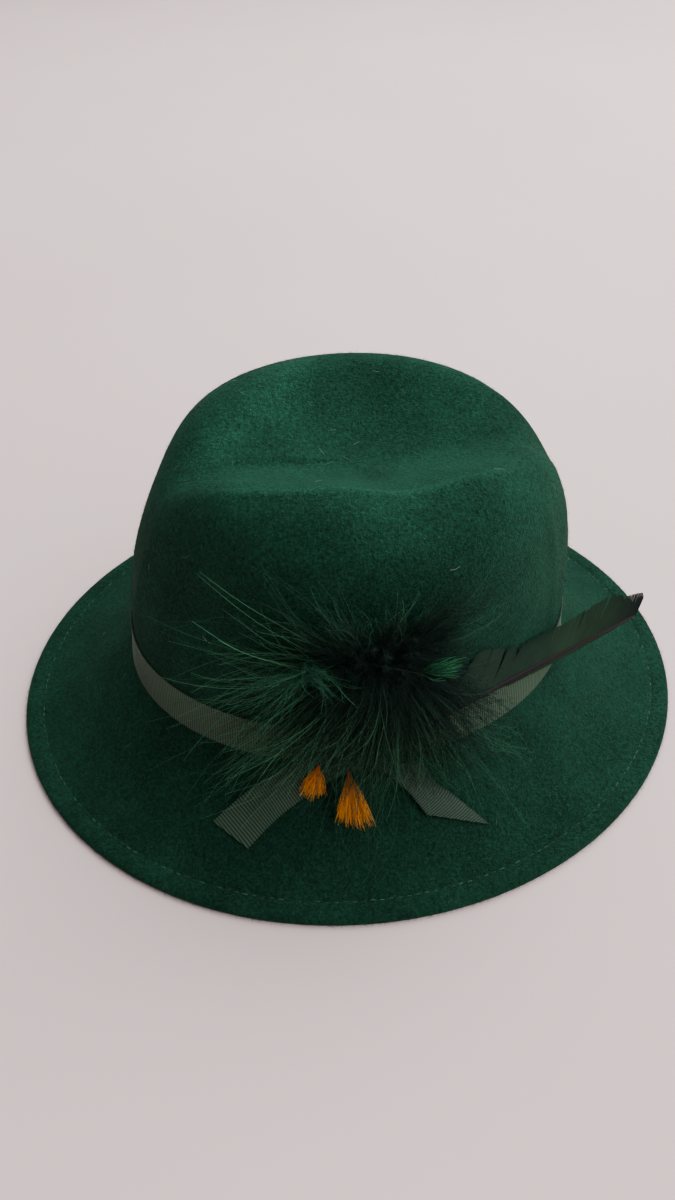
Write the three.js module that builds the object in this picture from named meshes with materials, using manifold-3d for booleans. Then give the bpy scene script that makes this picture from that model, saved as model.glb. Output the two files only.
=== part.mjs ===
// Felt hat with a ribbon band and a feather trim, in millimetres.
// The front of the hat faces -Y, the trim is on +X, the brim edge rests on z = 0.
import * as THREE from 'three';
import Module from 'manifold-3d';

const wasm = await Module();
wasm.setup();

// Crown and brim of the felt body
const FOOT_LENGTH = 197;
const FOOT_WIDTH = 163;
const FOOT_HEIGHT = 29;
const CROWN_RISE = 117;
const CROWN_TAPER = 0.045;
const CROWN_LEAN = -0.5;
const SQUARENESS_FRONT = 2.7;
const SQUARENESS_BACK = 4.0;
const SQUARENESS_SIDE = 4.6;
const BRIM_WIDTH = 56;
const BRIM_EXTRA_LENGTH = 0;
const BRIM_CURVE = 1.45;
const FELT_THICKNESS = 2;
const WELT_WIDTH = 9;
const WELT_THICKNESS = 4;
const FOOT_FLARE = 2.4;
const FOOT_FLARE_HEIGHT = 3.2;

// Dent along the top of the crown
const DENT_CENTRE = 10;
const DENT_FRONT = 86;
const DENT_BACK = 81;
const DENT_TRIM_SIDE = { width: 51, taperFront: 1.4, taperBack: 1.4 };
const DENT_FAR_SIDE = { width: 49, taperFront: 1.05, taperBack: 1.15 };
const DENT_DEPTH = 25;
const DENT_STEEPNESS = 1.1;
const DENT_SOFTNESS = 0.06;
const DENT_ROUNDING = 20;

// Places of the crown that are pressed in by depth, or let down by sink: the front pinches and the ridge
const PRESSED = [
  { name: 'pinch_left', side: -52, height: 0.64, depth: 6.5, sink: 0, spread: 20, tall: 0.24 },
  { name: 'pinch_right', side: -128, height: 0.58, depth: 5, sink: 0, spread: 22, tall: 0.18 },
  { name: 'shoulder_right', side: -132, height: 0.88, depth: -3.5, sink: 0, spread: 26, tall: 0.16 },
  { name: 'ridge_front', side: -38, height: 0.97, depth: 0, sink: 4, spread: 20, tall: 0.16 },
  { name: 'ridge_kink', side: 16, height: 0.97, depth: 0, sink: 8, spread: 20, tall: 0.16 },
  { name: 'ridge_back', side: 60, height: 0.97, depth: 0, sink: 3, spread: 20, tall: 0.16 },
];

// Ribbon band round the foot of the crown, and the loose ribbon ends
const CLEARANCE = 0.3;
const RIBBON_THICKNESS = 0.8;
const RIBBON_LEVELS = [3.2, 6.5, 13, 21.7];

// Stations of a loose ribbon end: both edges in plan, and their height over the brim top
const TAIL_FRONT = [
  { innerX: 83.6, innerY: -10, innerLift: 19.5, outerX: 85.2, outerY: -9.6, outerLift: 3.4 },
  { innerX: 83.4, innerY: -24, innerLift: 15.5, outerX: 86.6, outerY: -22, outerLift: 2.4 },
  { innerX: 82.4, innerY: -39, innerLift: 9.5, outerX: 90.2, outerY: -35, outerLift: 2.1 },
  { innerX: 82.2, innerY: -55, innerLift: 2.6, outerX: 94.4, outerY: -46.5, outerLift: 1.6 },
  { innerX: 87.9, innerY: -71.1, innerLift: 1, outerX: 100.9, outerY: -58.3, outerLift: 1 },
];
const TAIL_BACK = [
  { innerX: 90, innerY: 14, innerLift: 14, outerX: 90, outerY: -4, outerLift: 12 },
  { innerX: 92.2, innerY: 19, innerLift: 4.4, outerX: 90.6, outerY: 1.5, outerLift: 7.4 },
  { innerX: 95.5, innerY: 26, innerLift: 1.6, outerX: 94.2, outerY: 7.5, outerLift: 4.4 },
  { innerX: 100.6, innerY: 33, innerLift: 1.1, outerX: 98.4, outerY: 11.5, outerLift: 3.2 },
  { innerX: 106.6, innerY: 39.6, innerLift: 1, outerX: 102.2, outerY: 14.6, outerLift: 2.2 },
];
const KNOT = { x: 85.9, y: 0, z: 42, depth: 6.2, width: 17, height: 16 };

// Marabou plume: its head on the crown wall and the tips of its locks
const PLUME_HEAD = { x: 86.5, y: 0, z: 88, depth: 14, width: 40, height: 28 };
const PLUME_LOCKS = [
  { x: 62, y: -68, z: 88, thick: 2.6 },
  { x: 60, y: -70, z: 74, thick: 3 },
  { x: 64, y: -72, z: 54, thick: 3.2 },
  { x: 77, y: -68, z: 33, thick: 4 },
  { x: 88, y: -46, z: 34, thick: 4.6 },
  { x: 97, y: -22, z: 30, thick: 4.6 },
  { x: 106, y: -3, z: 28, thick: 5 },
  { x: 104, y: 20, z: 28, thick: 4.8 },
  { x: 98, y: 44, z: 24, thick: 4 },
  { x: 88, y: 62, z: 24, thick: 3.4 },
  { x: 76, y: 58, z: 52, thick: 4 },
  { x: 64, y: 66, z: 78, thick: 4 },
  { x: 66, y: 56, z: 98, thick: 3.6 },
  { x: 72, y: 38, z: 110, thick: 4 },
  { x: 77, y: 14, z: 114, thick: 3.6 },
  { x: 77, y: -10, z: 118, thick: 3.4 },
  { x: 72, y: -34, z: 112, thick: 3 },
  { x: 66, y: -52, z: 102, thick: 2.8 },
  { x: 112, y: -12, z: 74, thick: 5 },
  { x: 113, y: 12, z: 76, thick: 5 },
  { x: 106, y: 30, z: 66, thick: 4.6 },
  { x: 100, y: -34, z: 68, thick: 4.4 },
  { x: 108, y: 0, z: 54, thick: 5 },
];
const PLUME_STEM = { x: 90.4, y: 3, z: 52.4, thick: 2.6 };
const LOCK_STEPS = 5;
const LOCK_SIDES = 5;

// Stiff feather: line of its shaft, and the reach of its vane above and below the shaft
const QUILL_ROOT = [93.3, 7.6, 60.2];
const QUILL_TIP = [32.7, 125.1, 44];
const VANE_UP = [-0.1, -0.1, 0.98];
const VANE_CUP = 0.002;
const VANE_HALF_THICKNESS = 0.35;
const QUILL_STATIONS = [
  { at: 0, up: 1.4, low: 1.4, shaft: 1.3 },
  { at: 0.2, up: 1.6, low: 1.5, shaft: 1.3 },
  { at: 0.27, up: 9.5, low: 2.2, shaft: 1.25 },
  { at: 0.38, up: 14.5, low: 2.8, shaft: 1.2 },
  { at: 0.49, up: 13.4, low: 3.1, shaft: 1.1 },
  { at: 0.535, up: 10, low: 3.1, shaft: 1.05 },
  { at: 0.56, up: 13.6, low: 3.2, shaft: 1 },
  { at: 0.7, up: 12.4, low: 3.2, shaft: 0.9 },
  { at: 0.84, up: 14, low: 3, shaft: 0.75 },
  { at: 0.93, up: 14.8, low: 2.4, shaft: 0.6 },
  { at: 0.985, up: 13.6, low: 1.2, shaft: 0.5 },
  { at: 1.03, up: 12.4, low: -5, shaft: 0.4 },
];

// Small tufts over the ribbon: common root, then the tips of their strips
const ORANGE_LARGE = {
  root: [92.6, -15.5, 37],
  tips: [[99.5, -22, 20.6], [102.8, -16, 19.6], [103.6, -8.4, 20]],
  thick: 2.1,
};
const ORANGE_SMALL = {
  root: [90.3, -27, 37.8],
  tips: [[89.3, -36.5, 25.4], [93.3, -30.5, 24.4], [93.9, -25, 25.8]],
  thick: 1.7,
};
const GREEN_HACKLE = {
  root: [93.9, 13, 91.6],
  tips: [[97.9, 25.5, 101], [95.5, 30.5, 96], [100, 27, 90.5]],
  thick: 1.5,
};
const THREAD_RADIUS = 0.5;
const THREAD_PATH = [[89.8, -13.5, 100.3], [94.8, -4, 100.3], [96.6, 4, 98.5], [97, 11, 95]];

// Mesh steps of the felt body
const COLUMNS = 60;
const CROWN_STEPS = 10;
const DENT_STEPS = 6;
const BRIM_STEPS = 6;

const RAD = Math.PI / 180;

const MATERIALS = {
  felt: { color: 0x14452f, roughness: 0.95, metalness: 0 },
  ribbon: { color: 0x5f6b5e, roughness: 0.75, metalness: 0 },
  down: { color: 0x0b2a20, roughness: 0.9, metalness: 0 },
  quill: { color: 0x252a26, roughness: 0.55, metalness: 0 },
  orange: { color: 0xd9780f, roughness: 0.8, metalness: 0 },
  green: { color: 0x1f7a3c, roughness: 0.7, metalness: 0 },
  thread: { color: 0x2c3a30, roughness: 0.6, metalness: 0 },
};

function paint(kind) {
  return new THREE.MeshStandardMaterial(MATERIALS[kind]);
}

// One closed body from a list of points and a list of faces
function meshOf(name, kind, points, faces) {
  const geometry = new THREE.BufferGeometry();
  geometry.setAttribute('position', new THREE.Float32BufferAttribute(points.flat(), 3));
  geometry.setIndex(faces.flat());
  geometry.computeVertexNormals();
  const mesh = new THREE.Mesh(geometry, paint(kind));
  mesh.name = name;
  return mesh;
}

// Squareness of the crown plan towards the direction side, in radians
function squareness(side) {
  const s = Math.sin(side);
  const end = s > 0 ? SQUARENESS_BACK : SQUARENESS_FRONT;
  return SQUARENESS_SIDE + (end - SQUARENESS_SIDE) * s * s;
}

// How far inside the pointed oval of the dent a plan point lies: 0 on its rim, 1 at its middle
function dentShare(x, y) {
  const offset = y - DENT_CENTRE;
  const along = Math.hypot(offset, DENT_ROUNDING) - DENT_ROUNDING;
  const reach = (offset < 0 ? DENT_FRONT : DENT_BACK) - DENT_ROUNDING;
  const half = x > 0 ? DENT_TRIM_SIDE : DENT_FAR_SIDE;
  const taper = offset < 0 ? half.taperFront : half.taperBack;
  const across = Math.hypot(x, DENT_ROUNDING) - DENT_ROUNDING;
  return 1 - across / (half.width - DENT_ROUNDING) - Math.pow(along / reach, taper);
}

function dentDrop(x, y) {
  const share = dentShare(x, y);
  const soft = DENT_SOFTNESS * Math.log1p(Math.exp(share / DENT_SOFTNESS));
  return DENT_DEPTH * (1 - Math.pow(1 - Math.min(soft, 1), DENT_STEEPNESS));
}

// Point on the smooth dome, from its plan share (1 at the foot wall, 0 at the middle)
function domePoint(side, share) {
  const n = squareness(side);
  const rise = Math.pow(Math.max(0, 1 - Math.pow(share, n)), 1 / n);
  return domeAt(side, share, rise);
}

function domeAt(side, share, rise) {
  const shrink = 1 - CROWN_TAPER * rise;
  const x = FOOT_WIDTH / 2 * share * Math.cos(side) * shrink;
  const y = FOOT_LENGTH / 2 * share * Math.sin(side) * shrink + CROWN_LEAN * rise;
  return [x, y, rise];
}

// Felt surface of the crown, dent, pinches and flared foot included
function crownPoint(side, share, rise) {
  const [x, y] = domeAt(side, share, rise);
  let push = 0;
  let sunk = 0;
  for (const press of PRESSED) {
    const turn = Math.atan2(Math.sin(side - press.side * RAD), Math.cos(side - press.side * RAD)) / RAD;
    const flat = (turn / press.spread) ** 2 + ((rise - press.height) / press.tall) ** 2;
    push += press.depth * Math.exp(-flat) * share;
    sunk += press.sink * Math.exp(-flat) * share;
  }
  push -= FOOT_FLARE * Math.exp(-rise * CROWN_RISE / FOOT_FLARE_HEIGHT);
  const px = x - push * Math.cos(side);
  const py = y - push * Math.sin(side);
  return [px, py, FOOT_HEIGHT + CROWN_RISE * rise - dentDrop(px, py) - sunk];
}

// Plan share of the ridge in the direction side, found by halving
function ridgeShare(side) {
  let outer = 1;
  let inner = 0;
  for (let i = 0; i < 40; i++) {
    const middle = (outer + inner) / 2;
    const [x, y] = domePoint(side, middle);
    if (dentShare(x, y) > 0) inner = middle;
    else outer = middle;
  }
  return (outer + inner) / 2;
}

// Top of the brim at a distance from the crown foot
function brimPoint(side, out, z) {
  const reach = FOOT_FLARE + out;
  const x = (FOOT_WIDTH / 2 + reach) * Math.cos(side);
  const y = (FOOT_LENGTH / 2 + reach + BRIM_EXTRA_LENGTH * out / BRIM_WIDTH) * Math.sin(side);
  return [x, y, z];
}

function brimHeight(out) {
  const inner = Math.max(0, 1 - out / (BRIM_WIDTH - WELT_WIDTH - FOOT_FLARE));
  return WELT_THICKNESS + (FOOT_HEIGHT - WELT_THICKNESS) * Math.pow(inner, BRIM_CURVE);
}

// One meridian of the outer felt face, from the seam of the welt up to the middle of the dent
function outerMeridian(side) {
  const line = [];
  const slopeEnd = BRIM_WIDTH - WELT_WIDTH - FOOT_FLARE;
  for (let i = BRIM_STEPS; i > 0; i--) {
    const out = slopeEnd * i / BRIM_STEPS;
    line.push(brimPoint(side, out, brimHeight(out)));
  }
  const n = squareness(side);
  const ridge = ridgeShare(side);
  const ridgeRise = Math.pow(1 - Math.pow(ridge, n), 1 / n);
  const turnEnd = Math.asin(Math.pow(ridgeRise, n / 2));
  for (const low of [0, 0.018, 0.05]) {
    line.push(crownPoint(side, Math.pow(1 - Math.pow(low, n), 1 / n), low));
  }
  const turnStart = Math.asin(Math.pow(0.13, n / 2));
  for (let i = 0; i <= CROWN_STEPS; i++) {
    const turn = turnStart + (turnEnd - turnStart) * i / CROWN_STEPS;
    line.push(crownPoint(side, Math.pow(Math.cos(turn), 2 / n), Math.pow(Math.sin(turn), 2 / n)));
  }
  for (let i = 1; i < DENT_STEPS; i++) {
    const share = ridge * (1 - Math.pow(i / DENT_STEPS, 1.15));
    line.push(crownPoint(side, share, Math.pow(1 - Math.pow(share, n), 1 / n)));
  }
  return line;
}

// Grid of rings closed over its middle point; each ring is one row of points
function gridNormals(rows, tip) {
  const sums = rows.map((row) => row.map(() => new THREE.Vector3()));
  const tipSum = new THREE.Vector3();
  const vec = (p) => new THREE.Vector3(...p);
  for (let r = 0; r + 1 < rows.length; r++) {
    for (let c = 0; c < COLUMNS; c++) {
      const d = (c + 1) % COLUMNS;
      const corners = [rows[r][c], rows[r][d], rows[r + 1][d], rows[r + 1][c]].map(vec);
      const cross = corners[2].clone().sub(corners[0]).cross(corners[3].clone().sub(corners[1])).normalize();
      for (const [i, j] of [[r, c], [r, d], [r + 1, d], [r + 1, c]]) sums[i][j].add(cross);
    }
  }
  const last = rows.length - 1;
  for (let c = 0; c < COLUMNS; c++) {
    const d = (c + 1) % COLUMNS;
    const a = vec(rows[last][c]);
    const b = vec(rows[last][d]);
    const cross = b.sub(a).cross(vec(tip).sub(a)).normalize();
    sums[last][c].add(cross);
    sums[last][d].add(cross);
    tipSum.add(cross);
  }
  return { rows: sums.map((row) => row.map((v) => v.normalize())), tip: tipSum.normalize() };
}

function feltBody() {
  const sides = Array.from({ length: COLUMNS }, (_, c) => 2 * Math.PI * c / COLUMNS);
  const meridians = sides.map(outerMeridian);
  const rowCount = meridians[0].length;
  const outer = Array.from({ length: rowCount }, (_, r) => meridians.map((line) => line[r]));
  const tip = crownPoint(0, 0, 1);
  const normals = gridNormals(outer, tip);
  const under = outer.map((row, r) => row.map((p, c) => {
    const n = normals.rows[r][c];
    return [p[0] - FELT_THICKNESS * n.x, p[1] - FELT_THICKNESS * n.y, p[2] - FELT_THICKNESS * n.z];
  }));
  const tipUnder = [tip[0], tip[1], tip[2] - FELT_THICKNESS];
  const full = BRIM_WIDTH - FOOT_FLARE;
  const start = full - WELT_WIDTH;
  const edge = [
    [start - 0.6, 0],
    [full - 1.4, 0],
    [full - 0.4, 0.5],
    [full, WELT_THICKNESS / 2],
    [full - 0.4, WELT_THICKNESS - 0.5],
    [full - 1.6, WELT_THICKNESS + 0.1],
    [full - 5, WELT_THICKNESS + 0.5],
    [start + 1.2, WELT_THICKNESS + 0.1],
  ];
  const welt = edge.map(([out, z]) => sides.map((side) => brimPoint(side, out, z)));
  const rings = [...under.slice().reverse(), ...welt, ...outer];
  const points = [tipUnder, ...rings.flat(), tip];
  const faces = [];
  const at = (r, c) => 1 + r * COLUMNS + c % COLUMNS;
  const end = points.length - 1;
  for (let c = 0; c < COLUMNS; c++) {
    faces.push([0, at(0, c + 1), at(0, c)]);
    for (let r = 0; r + 1 < rings.length; r++) {
      faces.push([at(r, c), at(r, c + 1), at(r + 1, c + 1)]);
      faces.push([at(r, c), at(r + 1, c + 1), at(r + 1, c)]);
    }
    faces.push([at(rings.length - 1, c), at(rings.length - 1, c + 1), end]);
  }
  return meshOf('felt_body', 'felt', points, faces);
}

// Share of the crown plan that belongs to a rise of the wall
function wallShare(side, rise) {
  const n = squareness(side);
  return Math.pow(1 - Math.pow(rise, n), 1 / n);
}

// Outer felt face on the trim side at a given y and height, as its x
function wallX(y, z) {
  const rise = Math.min(Math.max((z - FOOT_HEIGHT) / CROWN_RISE, 0), 0.97);
  let low = -Math.PI / 2;
  let high = Math.PI / 2;
  for (let i = 0; i < 30; i++) {
    const middle = (low + high) / 2;
    if (crownPoint(middle, wallShare(middle, rise), rise)[1] < y) low = middle;
    else high = middle;
  }
  const side = (low + high) / 2;
  return crownPoint(side, wallShare(side, rise), rise)[0];
}

// Top of the brim under a plan point
function brimTop(x, y) {
  let low = 0;
  let high = BRIM_WIDTH;
  for (let i = 0; i < 30; i++) {
    const middle = (low + high) / 2;
    const reach = FOOT_FLARE + middle;
    const share = Math.hypot(x / (FOOT_WIDTH / 2 + reach), y / (FOOT_LENGTH / 2 + reach));
    if (share > 1) low = middle;
    else high = middle;
  }
  return brimHeight((low + high) / 2);
}

// Closed body through rings of points, flat or pointed at both ends
function ringsBody(rings) {
  const count = rings[0].length;
  const points = rings.flat();
  const middle = (ring) => [0, 1, 2].map((k) => ring.reduce((sum, p) => sum + p[k], 0) / count);
  const first = points.push(middle(rings[0])) - 1;
  const last = points.push(middle(rings[rings.length - 1])) - 1;
  const faces = [];
  const end = (rings.length - 1) * count;
  for (let c = 0; c < count; c++) {
    const d = (c + 1) % count;
    faces.push([first, d, c]);
    faces.push([last, end + c, end + d]);
    for (let r = 0; r + 1 < rings.length; r++) {
      const a = r * count;
      const b = a + count;
      faces.push([a + c, a + d, b + d]);
      faces.push([a + c, b + d, b + c]);
    }
  }
  return { points, faces };
}

function solidOf(body) {
  const vertProperties = new Float32Array(body.points.flat());
  const triVerts = new Uint32Array(body.faces.flat());
  return new wasm.Manifold(new wasm.Mesh({ numProp: 3, vertProperties, triVerts }));
}

function meshOfSolid(name, kind, solid) {
  const data = solid.getMesh();
  const geometry = new THREE.BufferGeometry();
  const positions = new Float32Array(data.numVert * 3);
  for (let i = 0; i < data.numVert; i++) {
    for (let k = 0; k < 3; k++) positions[3 * i + k] = data.vertProperties[data.numProp * i + k];
  }
  geometry.setAttribute('position', new THREE.BufferAttribute(positions, 3));
  geometry.setIndex([...data.triVerts]);
  geometry.computeVertexNormals();
  const mesh = new THREE.Mesh(geometry, paint(kind));
  mesh.name = name;
  return mesh;
}

function hatBand() {
  const loops = [];
  const level = (height, off) => Array.from({ length: COLUMNS }, (_, c) => {
    const side = 2 * Math.PI * c / COLUMNS;
    const rise = height / CROWN_RISE;
    const [x, y, z] = crownPoint(side, wallShare(side, rise), rise);
    return [x + off * Math.cos(side), y + off * Math.sin(side), z];
  });
  for (const height of RIBBON_LEVELS) loops.push(level(height, CLEARANCE + RIBBON_THICKNESS));
  for (const height of RIBBON_LEVELS.slice().reverse()) loops.push(level(height, CLEARANCE));
  const points = loops.flat();
  const faces = [];
  for (let r = 0; r < loops.length; r++) {
    const a = r * COLUMNS;
    const b = (r + 1) % loops.length * COLUMNS;
    for (let c = 0; c < COLUMNS; c++) {
      const d = (c + 1) % COLUMNS;
      faces.push([a + c, a + d, b + d]);
      faces.push([a + c, b + d, b + c]);
    }
  }
  return meshOf('hat_band', 'ribbon', points, faces);
}

// Strip of ribbon between two edges, with its faces square to the strip
function ribbonTail(name, stations) {
  const edges = stations.map((s) => [
    new THREE.Vector3(s.innerX, s.innerY, brimTop(s.innerX, s.innerY) + s.innerLift),
    new THREE.Vector3(s.outerX, s.outerY, brimTop(s.outerX, s.outerY) + s.outerLift),
  ]);
  const inner = new THREE.CatmullRomCurve3(edges.map((e) => e[0]));
  const outer = new THREE.CatmullRomCurve3(edges.map((e) => e[1]));
  const steps = 12;
  const rings = [];
  for (let i = 0; i <= steps; i++) {
    const t = i / steps;
    const a = inner.getPoint(t);
    const b = outer.getPoint(t);
    const run = inner.getTangent(t).add(outer.getTangent(t));
    const across = b.clone().sub(a);
    const up = across.clone().cross(run).normalize().multiplyScalar(RIBBON_THICKNESS / 2);
    if (up.x + up.z < 0) up.negate();
    const middle = a.clone().lerp(b, 0.5);
    const ring = [a, middle, b].map((p) => p.clone().add(up));
    ring.push(...[b, middle, a].map((p) => p.clone().sub(up)));
    rings.push(ring.map((p) => p.toArray()));
  }
  const turn = new THREE.Vector3(...rings[1][0]).sub(new THREE.Vector3(...rings[0][0]));
  const over = new THREE.Vector3(...rings[0][2]).sub(new THREE.Vector3(...rings[0][0]));
  const up = new THREE.Vector3(...rings[0][0]).sub(new THREE.Vector3(...rings[0][5]));
  if (turn.dot(over.cross(up)) > 0) rings.forEach((ring) => ring.reverse());
  const body = ringsBody(rings);
  return meshOf(name, 'ribbon', body.points, body.faces);
}

// Plump rounded block, flatter than a ball
function roundedBlock({ x, y, z, depth, width, height }, around, levels) {
  const rings = [];
  const soften = (v) => Math.sign(v) * Math.pow(Math.abs(v), 0.7);
  for (let r = 1; r < levels; r++) {
    const tilt = -Math.PI / 2 + Math.PI * r / levels;
    rings.push(Array.from({ length: around }, (_, c) => {
      const turn = 2 * Math.PI * c / around;
      return [
        x + depth / 2 * soften(Math.cos(tilt) * Math.cos(turn)),
        y + width / 2 * soften(Math.cos(tilt) * Math.sin(turn)),
        z + height / 2 * soften(Math.sin(tilt)),
      ];
    }));
  }
  return ringsBody(rings);
}

function trimKnot() {
  const body = roundedBlock(KNOT, 14, 8);
  return meshOf('trim_knot', 'ribbon', body.points, body.faces);
}

// Tapered lock from the root to the tip, arched outwards and kept off the felt
function lockBody(root, tip, thick, arch) {
  const start = new THREE.Vector3(...root);
  const end = new THREE.Vector3(...tip);
  const centres = [];
  const radii = [];
  for (let i = 0; i <= LOCK_STEPS; i++) {
    const t = i / LOCK_STEPS;
    const p = start.clone().lerp(end, t);
    const radius = thick * (0.9 + 0.35 * Math.sin(Math.PI * Math.min(1, t * 1.5))) * (1 - 0.86 * t ** 1.7);
    p.x += arch * Math.sin(Math.PI * t);
    p.z += 0.35 * arch * Math.sin(Math.PI * t);
    const ground = brimTop(p.x, p.y) + radius + 0.5;
    if (p.z < ground) p.z = ground;
    const wall = wallX(p.y, p.z) + radius * 1.3 + 0.5;
    if (p.x < wall) p.x = wall;
    centres.push(p);
    radii.push(radius);
  }
  const rings = centres.map((p, i) => {
    const before = centres[Math.max(0, i - 1)];
    const after = centres[Math.min(LOCK_STEPS, i + 1)];
    const run = after.clone().sub(before).normalize();
    const a = new THREE.Vector3(0.8, 0, 0.6).cross(run).normalize();
    const b = run.clone().cross(a).normalize();
    return Array.from({ length: LOCK_SIDES }, (_, k) => {
      const turn = 2 * Math.PI * k / LOCK_SIDES;
      const q = p.clone();
      q.addScaledVector(a, radii[i] * 1.15 * Math.cos(turn));
      q.addScaledVector(b, radii[i] * 0.8 * Math.sin(turn));
      return q.toArray();
    });
  });
  return ringsBody(rings);
}

function downPlume() {
  const head = roundedBlock(PLUME_HEAD, 18, 10);
  const solids = [solidOf(head)];
  for (const lock of [...PLUME_LOCKS, PLUME_STEM]) {
    const dy = lock.y - PLUME_HEAD.y;
    const dz = lock.z - PLUME_HEAD.z;
    const far = Math.hypot(dy, dz);
    const root = [
      PLUME_HEAD.x + 1,
      PLUME_HEAD.y + dy / far * PLUME_HEAD.width * 0.28,
      PLUME_HEAD.z + dz / far * PLUME_HEAD.height * 0.24,
    ];
    solids.push(solidOf(lockBody(root, [lock.x, lock.y, lock.z], lock.thick, 5)));
  }
  return meshOfSolid('marabou_plume', 'down', wasm.Manifold.union(solids));
}

function tuft(name, kind, { root, tips, thick }) {
  const solids = tips.map((tip) => solidOf(lockBody(root, tip, thick, 1.2)));
  return meshOfSolid(name, kind, wasm.Manifold.union(solids));
}

function quillFeather() {
  const root = new THREE.Vector3(...QUILL_ROOT);
  const tip = new THREE.Vector3(...QUILL_TIP);
  const run = tip.clone().sub(root);
  const length = run.length();
  run.normalize();
  const up = new THREE.Vector3(...VANE_UP);
  up.addScaledVector(run, -up.dot(run)).normalize();
  const face = run.clone().cross(up);
  const flat = VANE_HALF_THICKNESS;
  const rings = QUILL_STATIONS.map(({ at, up: reach, low, shaft }) => {
    const section = [
      [-low, -flat, -0.25], [-shaft * 0.8, -flat, 0], [0, -shaft, 0], [shaft * 0.8, -flat, 0],
      [reach, -flat, 0.25], [reach, flat, 0.25], [shaft * 0.8, flat, 0], [0, shaft, 0],
      [-shaft * 0.8, flat, 0], [-low, flat, -0.25],
    ];
    return section.map(([u, n, slant]) => {
      const p = root.clone().addScaledVector(run, at * length + slant * Math.abs(u));
      const cup = -VANE_CUP * u * u;
      return p.addScaledVector(up, u).addScaledVector(face, n + cup).toArray();
    });
  });
  const body = ringsBody(rings);
  return meshOf('quill_feather', 'quill', body.points, body.faces);
}

function bindingThread() {
  const path = new THREE.CatmullRomCurve3(THREAD_PATH.map((p) => new THREE.Vector3(...p)));
  const round = new THREE.Shape();
  round.absarc(0, 0, THREAD_RADIUS, 0, 2 * Math.PI);
  const geometry = new THREE.ExtrudeGeometry(round, { steps: 10, curveSegments: 3, extrudePath: path });
  const mesh = new THREE.Mesh(geometry, paint('thread'));
  mesh.name = 'binding_thread';
  return mesh;
}

const hat = new THREE.Group();
hat.name = 'wool_hat';
hat.add(feltBody());
hat.add(hatBand());
hat.add(ribbonTail('ribbon_tail_front', TAIL_FRONT));
hat.add(ribbonTail('ribbon_tail_back', TAIL_BACK));
hat.add(trimKnot());
hat.add(downPlume());
hat.add(quillFeather());
hat.add(tuft('orange_feather_large', 'orange', ORANGE_LARGE));
hat.add(tuft('orange_feather_small', 'orange', ORANGE_SMALL));
hat.add(tuft('green_hackle', 'green', GREEN_HACKLE));
hat.add(bindingThread());

export default hat;
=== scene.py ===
import math

import bpy
import numpy as np
from mathutils import Matrix, Vector
from mathutils.bvhtree import BVHTree


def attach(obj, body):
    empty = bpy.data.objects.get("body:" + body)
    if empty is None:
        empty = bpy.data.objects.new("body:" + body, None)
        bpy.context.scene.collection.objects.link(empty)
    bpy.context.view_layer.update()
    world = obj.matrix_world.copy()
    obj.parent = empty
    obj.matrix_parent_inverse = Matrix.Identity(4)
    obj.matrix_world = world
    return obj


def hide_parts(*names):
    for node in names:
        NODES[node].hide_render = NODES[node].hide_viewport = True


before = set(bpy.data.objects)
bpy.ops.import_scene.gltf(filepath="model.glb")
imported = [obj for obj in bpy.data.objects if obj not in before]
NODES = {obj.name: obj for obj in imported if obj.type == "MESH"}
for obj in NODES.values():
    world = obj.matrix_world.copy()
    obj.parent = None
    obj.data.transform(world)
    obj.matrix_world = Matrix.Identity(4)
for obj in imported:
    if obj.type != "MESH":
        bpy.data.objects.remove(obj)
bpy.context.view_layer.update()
MM = 0.001
UV_NAME = "along"
PAINTED_HIGHLIGHT_NAME = "painted_highlight"

# The view of the photograph: rise of the eye over the hat, its distance, turn, shift and tilt, and the focal
# length and height of the picture in pixels
EYE_RISE = math.radians(42.87)
EYE_DISTANCE = 0.46376
EYE_TURN = math.radians(-8.56)
EYE_SIDE = -0.00534
EYE_UP = 0.0325
EYE_TILT = math.radians(-1.18)
PHOTO_HEIGHT = 1200.0
PHOTO_FOCAL = 942.0
SENSOR_HEIGHT = 36.0

# Hat sizes shared by the pieces, in metres
FOOT_LENGTH = 0.197
FOOT_WIDTH = 0.163
FOOT_FLARE = 0.0024
BRIM_WIDTH = 0.056
STITCH_IN = 0.0088
RIBBON_HEIGHT = 0.0185
RIB_PITCH = 0.00115
RIB_HEIGHT = 0.00011
EDGE_SCALLOP = 0.00022
RIBBON_THICK = 0.0005
RIBBON_GAP = 0.0003
BAND_BOTTOM = 0.0322
STITCH_PITCH = 0.0036
GROOVE_DEPTH = 0.00028
GROOVE_HALF_WIDTH = 0.0012
UNEVENNESS = 0.00028
LIFT_REACH = 0.03


# Helpers for making pieces

def pick_nothing():
    """Leaves any mesh mode and drops the selection."""
    if bpy.context.object and bpy.context.object.mode != "OBJECT":
        bpy.ops.object.mode_set(mode="OBJECT")
    bpy.ops.object.select_all(action="DESELECT")


def work_on(piece):
    """Makes a piece the only one that the next tool works on."""
    pick_nothing()
    piece.select_set(True)
    bpy.context.view_layer.objects.active = piece


def named(piece, name):
    piece.name = name
    piece.data.name = name
    return piece


def settle(piece):
    """Puts a piece's place into its mesh."""
    work_on(piece)
    bpy.ops.object.transform_apply(location=True, rotation=True, scale=True)
    return piece


def apply_modifiers(piece):
    work_on(piece)
    for modifier in list(piece.modifiers):
        bpy.ops.object.modifier_apply(modifier=modifier.name)
    return piece


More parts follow.
